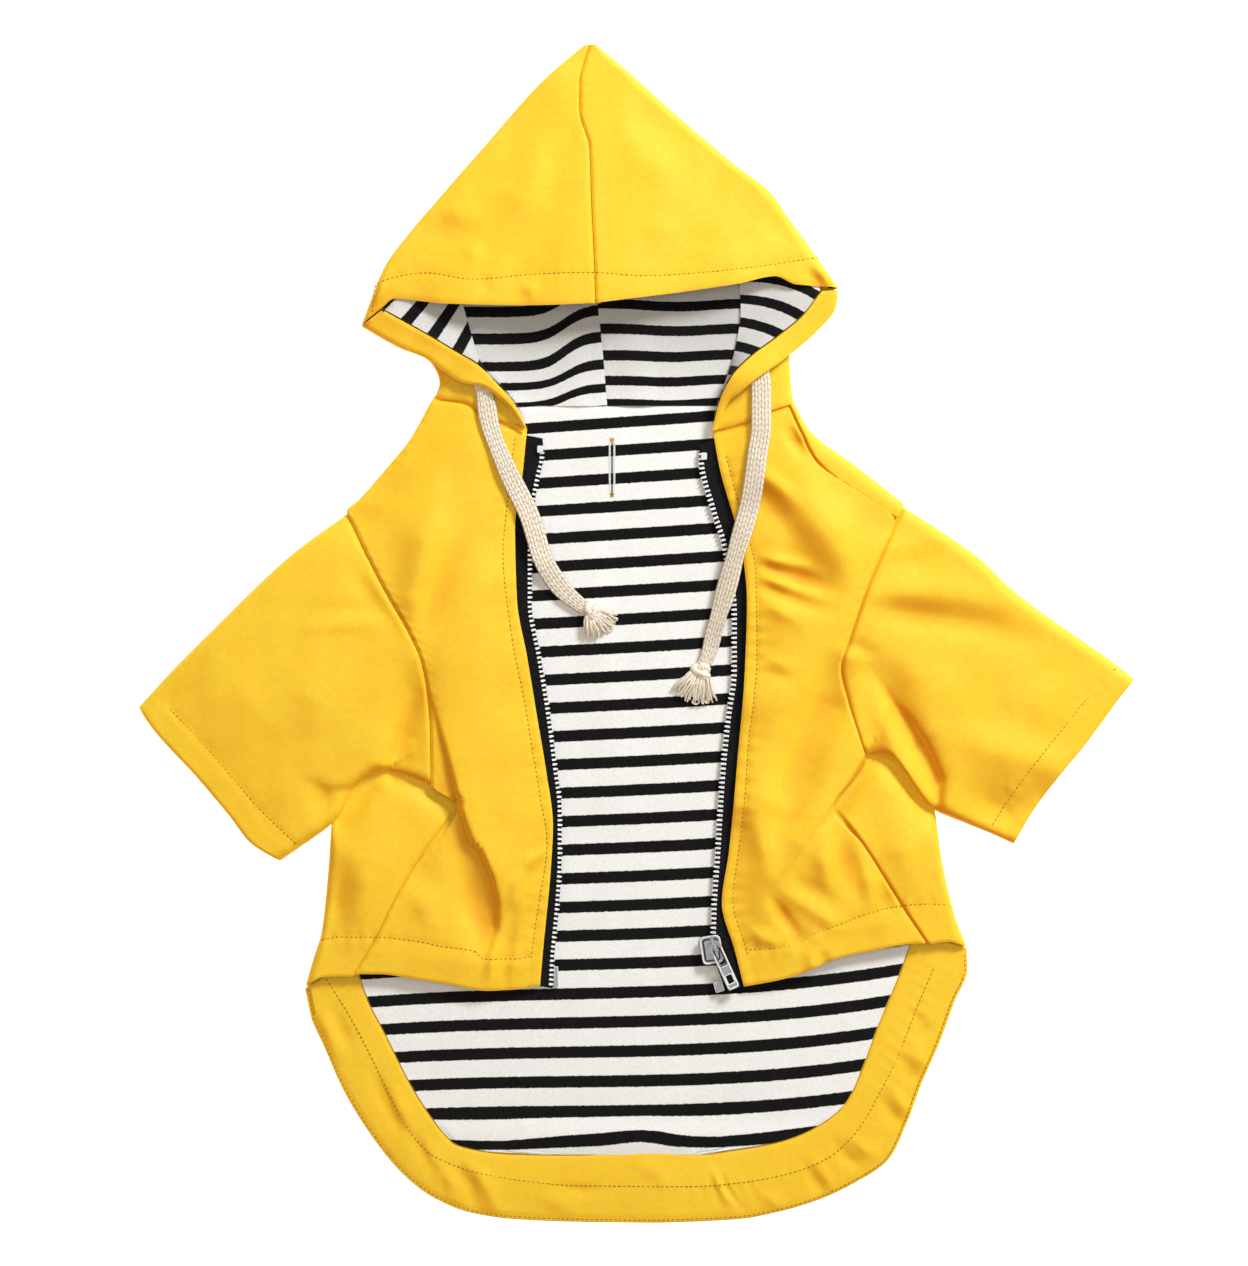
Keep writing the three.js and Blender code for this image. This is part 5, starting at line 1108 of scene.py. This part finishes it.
for hand, side in HANDS.items():
    ys = np.linspace(HOOD_LINING_TOP, NECK_SEAM_Y - 0.1, 56)
    seam = [(-20, HOOD_LINING_TOP), (-20, 166.75), (-17, 138.75), (-15, NECK_SEAM_Y)]
    centre_x = edge_x(seam, ys) + (1.2 if side < 0 else 0)
    outer_x = edge_x([(side * 52 - 21, HOOD_LINING_TOP), *moved(sample(of("valley", hand), 30), side * 2, 0)], ys)
    x = outer_x[:, None] + stations(70, 1.4)[None] * (centre_x - outer_x)[:, None]
    y = np.broadcast_to(ys[:, None], x.shape)
    far = np.abs(x - centre_x[:, None])
    z = LINING_TOP + 0.25 * ripple(x * 1.5 + 40, y * 1.5) - 0.5 * bell(far, 1.2)
    z += 1.1 * bell(far - 16, 9) * np.clip((170 - y) / 30, 0, 1)
    if side < 0:
        blend = fading(-(x + 36), 5.5)
        phase = level_phase(PHASE_VALLEY, y) * (1 - blend) + level_phase(PHASE_SEAM, y) * blend
    else:
        phase = level_phase(PHASE_RIGHT, y + blurred(SPOTS["stripe_dips"], x, y))
    grid = np.stack([x, y, np.maximum(z, LINING_LOW + 0.5)], -1)
    inner = np.stack([x, y, np.full(x.shape, LINING_LOW)], -1)
    # Painted shade on the hood lining, rising from the neck towards the mouth.
    painted_hood_shade = np.clip(0.12 + (y - NECK_SEAM_Y) / 62, 0.12, 0.75)
    uv = np.stack([x / STRIPE, phase], -1)
    piece = cloth(f"hood_lining_{hand}", grid, LINING_WALL, [STRIPED], "lining", uv=uv, inner=inner, sunk=painted_hood_shade)

CHEEK_REACH = 13.0
# Painted shade on the cheek linings, the same all over each.
CHEEK_PAINTED_SHADE = {"left": 0.62, "right": 0.5}


def bar_phase(bars, x, y):
    """Stripe number over a cheek, a smooth surface through points on the middles of its bars."""
    p = np.array(bars, float)
    mid = p[:, :2].mean(0)

    def terms(x, y):
        u, v = (x - mid[0]) / 30, (y - mid[1]) / 30
        return np.stack([np.ones(np.shape(u)), u, v, u * v, u * u, v * v], -1)

    a = terms(p[:, 0], p[:, 1])
    pull = np.diag([0, 0, 0, 0.02, 0.02, 0.02])
    return terms(x, y) @ np.linalg.solve(a.T @ a + pull, a.T @ p[:, 2])


for hand, side in HANDS.items():
    t = np.linspace(0.0, 0.97, 70)
    s = stations(34, 1.3)[None]
    a, b = line(of("facing_up", hand), shift=(-side * 0.5, 0.5))(t), line(of("valley", hand))(t)
    beyond = np.linspace(CHEEK_REACH, 1, 10)[:, None] * np.array([0, 1.0])
    a, b = np.concatenate([a[0] + beyond * [0, 0.6], a]), np.concatenate([b[0] + beyond, b])
    t = np.concatenate([np.zeros(len(beyond)), t])
    xy = a[:, None] + s[..., None] * (b - a)[:, None]
    x, y = xy[..., 0], xy[..., 1]
    high = band_height(a[:, 0], a[:, 1], t, CORD_LEAVES[hand]) - 0.5
    low = LINING_TOP + LINING_WALL + 0.5
    z = low + (high - low)[:, None] * (1 - s) ** 1.2 + 0.35 * ripple(x * 2, y * 2) * np.sin(math.pi * s)
    mouth_y = np.interp(x, *zip(*sorted(of("mouth", hand))))
    under = fading(mouth_y - 2.5 - y, 0.8)
    cap_low = np.maximum(top_height(x, y) - SHELL_WALL - 0.6, LINING_LOW + 1)
    grid = raised(xy, z * (1 - under) + np.minimum(z, cap_low) * under)
    uv = np.stack([np.broadcast_to(s, x.shape), bar_phase(of("bars", hand), x, y)], -1)
    # The cheek linings carry an even painted shade.
    piece = cloth(
        f"cheek_lining_{hand}", grid, LINING_WALL, [STRIPED], "lining", uv=uv, inner=grid - [0, 0, LINING_WALL],
        sunk=np.full(x.shape, CHEEK_PAINTED_SHADE[hand]),
    )


# Striped lining of the back, seen between the fronts and in the scoop
def powers(x, y):
    x, y = x / 150, (y + 80) / 180
    return np.stack([x**i * y**j for i in range(4) for j in range(5) if i + j < 6], -1)


def fitted(rows, x, y):
    """A smooth surface through a table of (x, y, value, reach)."""
    r = np.array(rows, float)
    a = powers(r[:, 0], r[:, 1])
    return powers(x, y) @ np.linalg.solve(a.T @ a + 0.05 * np.eye(a.shape[1]), a.T @ r[:, 2])


LINING_SIDES = {
    "left": ([(-68, 114), (-93, 101.75), (-115.5, 76.75), (-125.5, 56.75)], [(-118, -98.25), (-135.5, -133.25)], -150),
    "right": ([(57, 114), (77, 96.75), (97, 76.75), (112, 56.75)], [(117, -98.25), (134.5, -133.25)], -145),
}


def back_lining_edge(hand, ys):
    top, hip, border_from = LINING_SIDES[hand]
    side = HANDS[hand]
    rows = [*top, *moved(sample(of("armhole", hand), 5, 0.2), -side * 12, 0), *hip]
    rows += [(x - side * 0.5, y + 0.3) for x, y in sample(of("border", hand), 59) if y < border_from]
    kept = [rows[0]]
    for r in rows[1:]:
        if r[1] < kept[-1][1] - 0.05:
            kept.append(r)
    return edge_x(kept, ys)


# Creases of the lining, and how far its lowest stripe sags where it bags over the seam, by x
LINING_CREASES = [
    ([(35, -266), (44, -250), (50, -238)], 2.2, 0.9),
    ([(-60, -262), (-54, -246)], 3, 0.6),
    ([(-10, 100), (-22, 40), (-12, -20), (-6, -90)], 9, 0.5),
]
BAG_X = [-102.4, -91.8, -79.2, -66.6, -47.6, -32.9, -18.2, -5.6, 2.9, 11.3, 17.6, 28.1, 38.6, 51.3, 63.9, 87.1, 108.1]
BAG_SAG = [0, 1.5, 2.3, 2.5, 0.8, -0.4, -1.3, -2.8, -3.2, -2.2, -0.8, 0.7, 1.3, 1, 0.6, -0.4, 0]


def back_lining_height(x, y):
    z = LINING_TOP + 0.3 * ripple(x + 90, y - 60) + 1.3 * bell(y + 252, 8) * np.exp(-((x / 95) ** 4))
    for rows, width, high in LINING_CREASES:
        z += high * bell(along(rows, x, y)[0], width)
    return np.maximum(z, LINING_LOW + 0.6)


ys = np.linspace(NECK_SEAM_Y + 1.2, -261.3, int(376 / 1.5))
left, right = back_lining_edge("left", ys), back_lining_edge("right", ys)
s = np.linspace(0, 1, 150)
x = left[:, None] + s[None] * (right - left)[:, None]
y = np.broadcast_to(ys[:, None], x.shape)
z = np.where(np.minimum(s, 1 - s)[None] < 0.01, LINING_TOP, back_lining_height(x, y))
grid = np.stack([x, y, z - 0.5 * fading(NECK_SEAM_Y - 0.4 - y, 0.3)], -1)
inner = np.stack([x, y, np.full(x.shape, LINING_LOW)], -1)
bag = np.interp(x, BAG_X, BAG_SAG) * bell(y + 252, 7)
phase = (STRIPE_FIRST - y - bag + fitted(SPOTS["stripe_shift"], x, y)) / STRIPE
uv = np.stack([x / STRIPE, phase], -1)
piece = cloth("back_lining", grid, LINING_WALL, [STRIPED], "lining", uv=uv, inner=inner)


# Yellow facing inside the scooped hem
def facing_folds(x, y):
    return 1.3 * folds(FACING_CREASES, x, y, 12)


t = stations(560, 1.5)
a, b = line(scoop)(t), line(border)(t)
far = size(a - b)[:, None]
start = np.where((t < 0.03) | (t > 0.97), 3.4, 0.6)[:, None] / far
k = start + stations(34, 1.5)[None] * (1 - 0.1 / far - start)
xy = a[:, None] + k[..., None] * (b - a)[:, None]
x, y = xy[..., 0], xy[..., 1]
edge_far, inner_far, run = k * far, (1 - k) * far, run_along(a)[:, None]
z = FACING_TOP + 0.45 * np.sin(math.pi * k) + 0.3 * ripple(x + 30, y + 10)
z -= 0.35 * bell(edge_far - 1.8, 0.6) + 0.5 * bell(edge_far, 0.8) + 0.4 * bell(inner_far, 0.9)
pucker = np.sin(run / 1.15 + 1.2 * np.sin(run / 9)) * (0.5 + 0.5 * np.sin(run / 23 + 2))
z += 0.1 * pucker * bell(edge_far - 17, 9) + facing_folds(x, y)
grid = raised(xy, np.maximum(z, 2.2))
piece = cloth("hem_facing", grid, FACING_WALL, [YELLOW], inner=raised(xy, LINING_LOW))

# Zip: woven tapes, metal teeth, end stops, pin, box, slider and tab
TOOTH_PITCH = 2.35
TAPE_EDGE = 0.7
TAPE_UNDER = 5.0

for hand, side in HANDS.items():
    t = stations(280, 1.2)
    a = line(of("teeth", hand), "y", (-side * TAPE_EDGE, 0))(t)
    b = line(of("front_in", hand), "y", (side * TAPE_UNDER, 0))(np.maximum(t - 0.002, 0))
    s = stations(10, 0.6)[None]
    xy = a[:, None] + s[..., None] * (b - a)[:, None]
    far = s * size(b - a)[:, None]
    z = TAPE_TOP - 0.15 + 0.35 * bell(far - 0.9, 0.7) - 0.1 * np.sin(far * math.tau / 1.7)
    grid, inner = raised(xy, z), raised(xy, TAPE_TOP - TAPE_WALL)
    piece = cloth(f"zip_tape_{hand}", grid, TAPE_WALL, [TAPE], "zip_tape", inner=inner)

TOOTH_PLAN = np.array([
    (-1.75, -0.28), (-1.45, -0.55), (-0.7, -0.55), (-0.35, -0.8), (1.5, -0.8), (1.65, -0.6),
    (1.65, 0.6), (1.5, 0.8), (-0.35, 0.8), (-0.7, 0.55), (-1.45, 0.55), (-1.75, 0.28),
])
TOOTH_GROW = {-1: 0.72, 1: 0.85}
TOOTH_LEVELS = [(3.75, 0.82), (3.95, 1.0), (5.05, 1.0), (5.3, 0.8)]
TEETH_START = 5.0
TEETH_STOP = {"left": 1.0, "right": 27.0}


def even_places(curve, pitch, start, stop):
    """Points and directions an even pitch apart, from start to stop in mm along a line."""
    p = curve(np.linspace(0, 1, 1200))
    run = run_along(p)
    far = np.arange(start, run[-1] - stop, pitch)

    def at(run_to):
        return np.column_stack([np.interp(run_to, run, p[:, 0]), np.interp(run_to, run, p[:, 1])])

    return at(far), unit(at(far + 0.5) - at(far - 0.5))


def ring_faces(count, sides):
    """Faces of a closed tube of rings, with both its ends."""
    faces = grid_faces(count, sides, True, 0, False).tolist()
    return [*faces, list(range(sides)), list(range((count - 1) * sides, count * sides))[::-1]]


def gather(parts):
    points, faces, base = [], [], 0
    for p, f in parts:
        points.append(p)
        faces += [[base + k for k in face] for face in f]
        base += len(p)
    return np.concatenate(points), faces


def solid(name, parts, material, uv=None, smooth_angle=50):
    points, faces = gather(parts)
    uv = points[:, :2] / uv if uv else None
    return outward(make_mesh(name, points, faces, [material], uv, smooth_angle=smooth_angle))


for hand, side in HANDS.items():
    centre = TOOTH_PLAN.mean(0)
    n = len(TOOTH_PLAN)
    parts = []
    for p, d in zip(*even_places(line(of("teeth", hand), "y"), TOOTH_PITCH, TEETH_START, TEETH_STOP[hand])):
        out = np.array([-d[1], d[0]]) * (1 if -d[1] * side > 0 else -1)
        tilt = rng.uniform(-0.05, 0.05)
        points = []
        for z, grow in TOOTH_LEVELS:
            u, v = (centre + (TOOTH_PLAN - centre) * grow).T[..., None]
            points.append(raised(p + out * (u * TOOTH_GROW[side] + 0.1) + d * (v * 0.78 + u * tilt), z))
        parts.append((np.concatenate(points), ring_faces(len(TOOTH_LEVELS), n)))
    whole(f"zip_teeth_{hand}", [solid("teeth", parts, TEETH, smooth_angle=40)], slot="zip_metal")


def dressed(node, material, bevel, name, body="garment", extra=()):
    """A copy of a solid with softened edges and its own material."""
    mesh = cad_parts[node].data.copy()
    mesh.name = name
    obj = bpy.data.objects.new(name, mesh)
    bpy.context.scene.collection.objects.link(obj)
    work = bmesh.new()
    work.from_mesh(mesh)
    bmesh.ops.remove_doubles(work, verts=work.verts, dist=1e-6)
    bmesh.ops.dissolve_limit(work, angle_limit=math.radians(2), verts=work.verts, edges=work.edges)
    edges = [e for e in work.edges if len(e.link_faces) == 2 and e.calc_face_angle(0) > math.radians(40)]
    bmesh.ops.bevel(work, geom=edges, offset=bevel * MM, segments=2, profile=0.5, affect="EDGES", clamp_overlap=True)
    work.to_mesh(mesh)
    work.free()
    mesh.materials.clear()
    mesh.materials.append(material)
    mesh.polygons.foreach_set("material_index", np.zeros(len(mesh.polygons), np.int32))
    return whole(name, [obj, *extra], node, slot="zip_metal", body=body)


def tube(centres, radii, sides, squash=1.0):
    """Points and faces of a round tube along centres."""
    c = np.asarray(centres, float)
    d = unit(np.gradient(c, axis=0))
    a = unit(np.cross(d, [0, 0, 1.0]))
    b = np.cross(a, d)
    angle = np.linspace(0, math.tau, sides, endpoint=False)[None, :, None]
    r = np.broadcast_to(np.asarray(radii, float), len(c))[:, None, None]
    ring = a[:, None] * np.cos(angle) + squash * b[:, None] * np.sin(angle)
    return (c[:, None] + r * ring).reshape(-1, 3), ring_faces(len(c), sides)


def round_box(middle, long, wide, corner):
    """A closed outline with round corners, long along the first axis."""
    rows = []
    for quarter, (a, b) in enumerate(((1, 1), (-1, 1), (-1, -1), (1, -1))):
        for t in np.radians(np.arange(0, 91, 15)) + quarter * math.pi / 2:
            x, y = a * (long / 2 - corner), b * (wide / 2 - corner)
            rows.append((middle + x + corner * math.cos(t), y + corner * math.sin(t)))
    return [*rows, rows[0]]


def ridge(name, foot, rows, radius, material):
    """A raised line on the top of slider or tab, coloured by its material as a painted highlight or a painted shadow;
    foot is its place, direction and level.
    """
    (x, y), (along_x, along_y), z = foot
    u, v = np.asarray(rows, float).T
    centres = np.column_stack([x + along_x * u - along_y * v, y + along_y * u + along_x * v, np.full(len(u), z)])
    return solid(name, [tube(centres, radius, 8)], material, smooth_angle=60)


SLIDER = ((37.75, -158.25), (0.16, -0.987), 7.0)
TAB = ((39, -155.25), (0.414, -0.91), 9.1)
TAB_HIGHLIGHT_LINE = [(2.6, 2.5), (22.9, 2.5), (23.6, 2.2), (23.9, 1.5), (23.9, -1.5), (23.6, -2.2), (22.9, -2.5), (2.6, -2.5)]
TAB_SLOT_SHADOW_LINE = [(2.6, 1.75), (11.2, 1.75), (11.5, 1.4), (11.5, -1.4), (11.2, -1.75), (2.6, -1.75)]
# Raised lines on slider and tab: the bright ones are painted highlights along their edges, the near-black ones painted
# shadows in the groove and the slot.
slider_lines = [
    ridge("slider_painted_highlight", SLIDER, round_box(0, 13.2, 9.7, 2.0), 0.45, PAINTED_HIGHLIGHT_METAL),
    ridge("slider_painted_shadow", SLIDER, round_box(0, 10.6, 7.2, 1.2), 0.4, PAINTED_SHADOW_METAL),
]
tab_lines = [
    ridge("tab_rail_painted_highlight", TAB, TAB_HIGHLIGHT_LINE, 0.42, PAINTED_HIGHLIGHT_METAL),
    ridge("tab_slot_painted_shadow", TAB, TAB_SLOT_SHADOW_LINE, 0.3, PAINTED_SHADOW_METAL),
    ridge("tab_window_painted_highlight", TAB, round_box(19.2, 4.9, 3.7, 0.5), 0.3, PAINTED_HIGHLIGHT_METAL),
    ridge("tab_step_painted_highlight", TAB, [(12.3, -1.9), (12.3, 0), (12.3, 1.9)], 0.25, PAINTED_HIGHLIGHT_METAL),
]
dressed("slider", SILVER, 0.4, "slider_metal", extra=slider_lines)
dressed("pull_tab", SILVER, 0.4, "pull_tab_metal", "pull_tab", tab_lines)
for hand in HANDS:
    dressed(f"zip_stop_{hand}", WHITE_PLASTIC, 0.3, f"zip_stop_{hand}_end")
for node in ("zip_pin", "zip_box"):
    dressed(node, SILVER, 0.3, node + "_metal")

# Drawcords: flat cotton braid with a knot and a frayed end
CORD_WIDE = 10.0
CORD_THICK = 2.3
CORD_CLEAR = 0.7
TEETH_HIGH = 1.2
FRONT_IN = {hand: sample(of("front_in", hand), 119) for hand in HANDS}


def coat_height(x, y):
    left, right = (edge_x(rows, y) for rows in FRONT_IN.values())
    on_cloth = (x < left + 1.2) | (x > right - 1.2) | (y > NECK_SEAM_Y - 12)
    on_zip = (x < left + 11) | (x > right - 11)
    return np.where(on_cloth, top_height(x, y), np.where(on_zip, TAPE_TOP + TEETH_HIGH, LINING_TOP + 0.3))


def rounded(values, power):
    return np.sign(values) * np.abs(values) ** power * 0.5


def cord_piece(name, rows, narrow):
    curve = line(rows)
    t = stations(float(size(np.diff(np.array(rows), axis=0)).sum()), 0.5)
    count = len(t)
    p = curve(t)
    d = unit(curve(np.minimum(t + 0.02, 1)) - curve(np.maximum(t - 0.02, 0)))
    across = np.column_stack([-d[:, 1], d[:, 0]])
    wide = CORD_WIDE * (1 - 0.35 * np.clip((t - 0.85) / 0.15, 0, 1))
    for at, half, much in narrow:
        wide = wide * (1 - much * bell(t - at, half))
    u = np.linspace(-0.5, 0.5, 7)[None]
    spots = p[:, None] + across[:, None] * (u * wide[:, None])[..., None]
    over = coat_height(spots[..., 0], spots[..., 1])
    lean = over[:, -1] - over[:, 0]
    half = max(2, count // 22)

    def eased(values, pick=np.max):
        return spread(spread(values, half, pick), half, np.mean)

    soft_lean = spread(lean, half, np.mean)
    base = eased((over - lean[:, None] * u).max(1) + CORD_CLEAR)
    base = base + spread(np.abs(spread(lean, half, np.max) - soft_lean), half, np.mean) / 4
    run = run_along(p)
    angle = np.linspace(0, math.tau, 48, endpoint=False)
    cu, cv = rounded(np.cos(angle), 0.75)[None], rounded(np.sin(angle), 0.8)[None]
    column = (cu + 0.5) * PLAIT
    number = np.floor(column)
    way = np.where(number % 2 == 0, 1, -1) * (column - number) * 0.7
    slope = 0.5 + 0.5 * np.sin(math.tau * (run[:, None] / PLAIT_LONG + way))
    relief = 0.5 * (np.abs(np.sin(math.pi * column)) ** 0.6 * (0.35 + 0.65 * slope) - 0.4)
    thick = CORD_THICK * (1 + 0.25 * (CORD_WIDE / np.maximum(wide, 1) - 1))
    mid = base + thick / 2
    roll = soft_lean + 0.25 * np.sin(run / 17 + 1.0)
    xy = p[:, None] + across[:, None] * (cu * wide[:, None])[..., None]
    points = raised(xy, mid[:, None] + cv * (thick[:, None] + 2 * relief) + roll[:, None] * cu).reshape(-1, 3)
    uv = np.stack(np.broadcast_arrays(cu, run[:, None] / 10), -1).reshape(-1, 2)
    part = outward(make_mesh(name + "_part", points, ring_faces(count, len(angle)), [BRAID], uv))
    path = np.column_stack([p, mid]) * MM
    return whole(name + "_braid", [part], name, slot="cord"), path, float(size(np.diff(path, axis=0)).sum())


def knot_piece(name, place, extent, turn, out, fan, fray, count=66):
    """A knot, a wrap round it and a fan of frayed strands that points along the angle out."""
    (x, y, z), (long, wide, high) = place, extent
    local = np.random.default_rng(int(abs(x * 10)))
    cos, sin = math.cos(turn), math.sin(turn)

    def put(a, b, c):
        return np.stack([x + a * cos - b * sin, y + a * sin + b * cos, z + c], -1)

    def fanned(angle, far, aside, level):
        over, up = math.cos(angle), math.sin(angle)
        return np.stack([x + over * far - up * aside, y + up * far + over * aside, level], -1)

    s, turns = np.linspace(0, math.tau, 150), np.linspace(0, math.tau, 40)
    loop_x = (np.sin(s) + 2 * np.sin(2 * s)) / 3 * (long / 2 - 1.6)
    loop_y = (np.cos(s) - 2 * np.cos(2 * s)) / 3 * (wide / 2 - 1.4)
    wrap = put(0.6 + 0.5 * np.sin(turns), np.cos(turns) * (wide / 2 - 0.7), np.sin(turns) * (high / 2 - 0.9))
    parts = [
        tube(put(loop_x, loop_y, -np.sin(3 * s) * 1.25), 1.9 + 0.16 * np.sin(s * 34), 14),
        tube(wrap, 1.35 + 0.12 * np.sin(turns * 12), 12),
    ]
    k = np.linspace(0, 1, 9)
    for i in range(count):
        share = ((i * 0.618) % 1) - 0.5
        layer = i % 3
        angle = out + share * fan + local.uniform(-0.05, 0.05)
        far = fray * (0.84 + 0.22 * local.random())
        bow = local.uniform(-1.0, 1.0)
        crimp = 0.28 * np.sin(k * local.uniform(8, 15) + local.uniform(0, 6))
        aside = share * 5.5 * (1 - 0.5 * k) + bow * k * k + crimp
        start_z = z - 1.2 + 1.1 * layer
        end_z = LINING_TOP + 0.9 + 0.8 * layer + local.uniform(0, 0.5)
        level = start_z + (end_z - start_z) * k**1.4 + 1.2 * np.sin(math.pi * k)
        parts.append(tube(fanned(angle, 1.5 + k * (far - 1.5), aside, level), 0.52 - 0.16 * k, 6))
    ring = np.linspace(0, math.tau, 22)
    for share, curl in ((0.12, 1.7), (-0.3, 1.3), (0.38, 1.1)):
        angle, far = out + share * fan, fray * 0.97
        curl_x = x + math.cos(angle) * far + curl * np.cos(ring)
        curl_y = y + math.sin(angle) * far + 0.8 * curl * np.sin(ring)
        parts.append(tube(np.stack([curl_x, curl_y, LINING_TOP + 1.6 + 0.4 * np.sin(2 * ring)], -1), 0.36, 6))
    return whole(name + "_tassel", [solid(name + "_part", parts, CREAM, 10)], name, slot="cord")


knots = [
    knot_piece("knot_left", (-22, 10.75, 5.9), (9, 8, 6), -0.42, -0.95, 1.7, 12.5),
    knot_piece("knot_right", (32.5, -18.75, 5.9), (9, 10, 6), -2.0, -1.9, 1.4, 16),
]
CORD_NARROW = {"left": [(0.04, 0.05, 0.2), (0.25, 0.1, 0.14)], "right": [(0.84, 0.05, 0.2), (0.62, 0.05, 0.12)]}
cords = [cord_piece("drawcord_" + hand, of("cord", hand), CORD_NARROW[hand]) for hand in HANDS]

# Stitches: rows of short threads pressed into the cloth
STITCH_LONG = 1.5
STITCH_PITCH = 2.4
STITCH_RADIUS = 0.26
SCOOP_EDGE_IN = 1.6


def thread_bits(rows, height, pitch=STITCH_PITCH, long=STITCH_LONG, radius=STITCH_RADIUS, across=0.0, start=1.0):
    """Separate stitches along a plan line; across is an angle they are turned by."""
    parts = []
    k = np.array([-0.5, -0.36, 0, 0.36, 0.5])
    for p, ahead in zip(*even_places(line(rows), pitch, start, 1.0)):
        turn = across + 0.05 * math.sin(p[0] * 3.1 + p[1] * 2.3)
        cos, sin = math.cos(turn), math.sin(turn)
        xy = p + k[:, None] * long * np.array([ahead[0] * cos - ahead[1] * sin, ahead[0] * sin + ahead[1] * cos])
        z = height(xy[:, 0], xy[:, 1]) + radius * np.array([-0.9, 0.25, 0.5, 0.25, -0.9])
        parts.append(tube(raised(xy, z), radius * np.array([0.55, 0.95, 1, 0.95, 0.55]), 6, 0.8))
    return parts


def thread_piece(name, parts, material):
    return whole(name, [solid(name, parts, material)])


def facing_skin(x, y):
    return FACING_TOP + 0.42 + facing_folds(x, y)


def inset_line(rows, by):
    p = np.array(sample(rows, 219))
    out = sideways(p)
    sign = np.sign(((p.mean(0) - p) * out).sum(-1, keepdims=True))
    return [tuple(q) for q in p + out * sign * by]


thread_piece("stitches_top", [bit for key in TOP_STITCHES for bit in thread_bits(OUTLINES[key], top_height)], THREAD)
bits = thread_bits(inset_line(scoop, SCOOP_EDGE_IN), facing_skin) + thread_bits(OUTLINES["scoop_stitch"], facing_skin)
thread_piece("stitches_hem", bits, THREAD)

# Buttonhole for a leash in the back lining: satin stitch each side of a slit, with bar tacks, and a black sheet in the
# slit as its painted shadow
HOLE_X = -12.0
HOLE_TOP = 95.75
HOLE_LOW = 69.25
SLIT_HALF = 0.3
bits = []
for x in (HOLE_X - 1.15, HOLE_X + 1.15):
    bits += thread_bits([(x, HOLE_TOP), (x, HOLE_LOW)], back_lining_height, 0.42, 1.1, 0.2, math.pi / 2 + 0.2, 0)
thread_piece("buttonhole_sides", bits, WHITE_THREAD)
bits = []
for y in (HOLE_TOP + 0.6, HOLE_LOW - 0.6):
    rows = [(HOLE_X, y + 1.5), (HOLE_X, y - 1.5)]
    bits += thread_bits(rows, back_lining_height, 0.4, 2.6, 0.24, math.pi / 2, 0)
thread_piece("buttonhole_ends", bits, GOLD_THREAD)
# A thin black sheet just above the lining in the slit: painted shadow of the opening.
slit_z = float(back_lining_height(np.array([HOLE_X]), np.array([82.0]))[0]) + 0.12
slit_ends = ((-1, HOLE_LOW), (1, HOLE_LOW), (1, HOLE_TOP), (-1, HOLE_TOP))
slit_shadow_sheet = plate("slit_shadow_sheet", [(HOLE_X + way * SLIT_HALF, y) for way, y in slit_ends], slit_z - 0.4, 0.5, TAPE)
whole("buttonhole_slit_shadow", [slit_shadow_sheet], slot="lining")


# Light and floor
def area_light(name, at, wide, power, tone=(1, 1, 1)):
    data = bpy.data.lights.new(name, "AREA")
    data.shape = "DISK"
    data.size = wide
    data.energy = power
    data.color = tone
    obj = bpy.data.objects.new(name, data)
    obj.location = at
    obj.rotation_euler = (Vector((0, 0, 0)) - Vector(at)).to_track_quat("-Z", "Y").to_euler()
    bpy.context.scene.collection.objects.link(obj)


area_light("key", (1.0, 1.35, 1.2), 0.6, 40, (0.94, 0.965, 1.0))
area_light("fill", (0.0, 0.0, 2.4), 1.4, 12)
world = bpy.data.worlds.new("studio")
bpy.context.scene.world = world
world.use_nodes = True
world.node_tree.nodes["Background"].inputs["Color"].default_value = (1.0, 0.87, 0.68, 1)
world.node_tree.nodes["Background"].inputs["Strength"].default_value = 0.36
bpy.context.scene.view_settings.view_transform = "Standard"

FLOOR = 6.0
floor_nodes = Nodes("pale_floor")
floor_nodes.set(Base_Color=(0.9, 0.9, 0.9, 1), Roughness=0.8, Emission_Color=(1, 1, 1, 1), Emission_Strength=0.8)
floor_mesh = bpy.data.meshes.new("floor")
corners = [(-FLOOR, -FLOOR, 0), (FLOOR, -FLOOR, 0), (FLOOR, FLOOR, 0), (-FLOOR, FLOOR, 0)]
floor_mesh.from_pydata(corners, [], [(0, 1, 2, 3)])
floor_mesh.materials.append(floor_nodes.material)
floor = bpy.data.objects.new("floor", floor_mesh)
bpy.context.scene.collection.objects.link(floor)
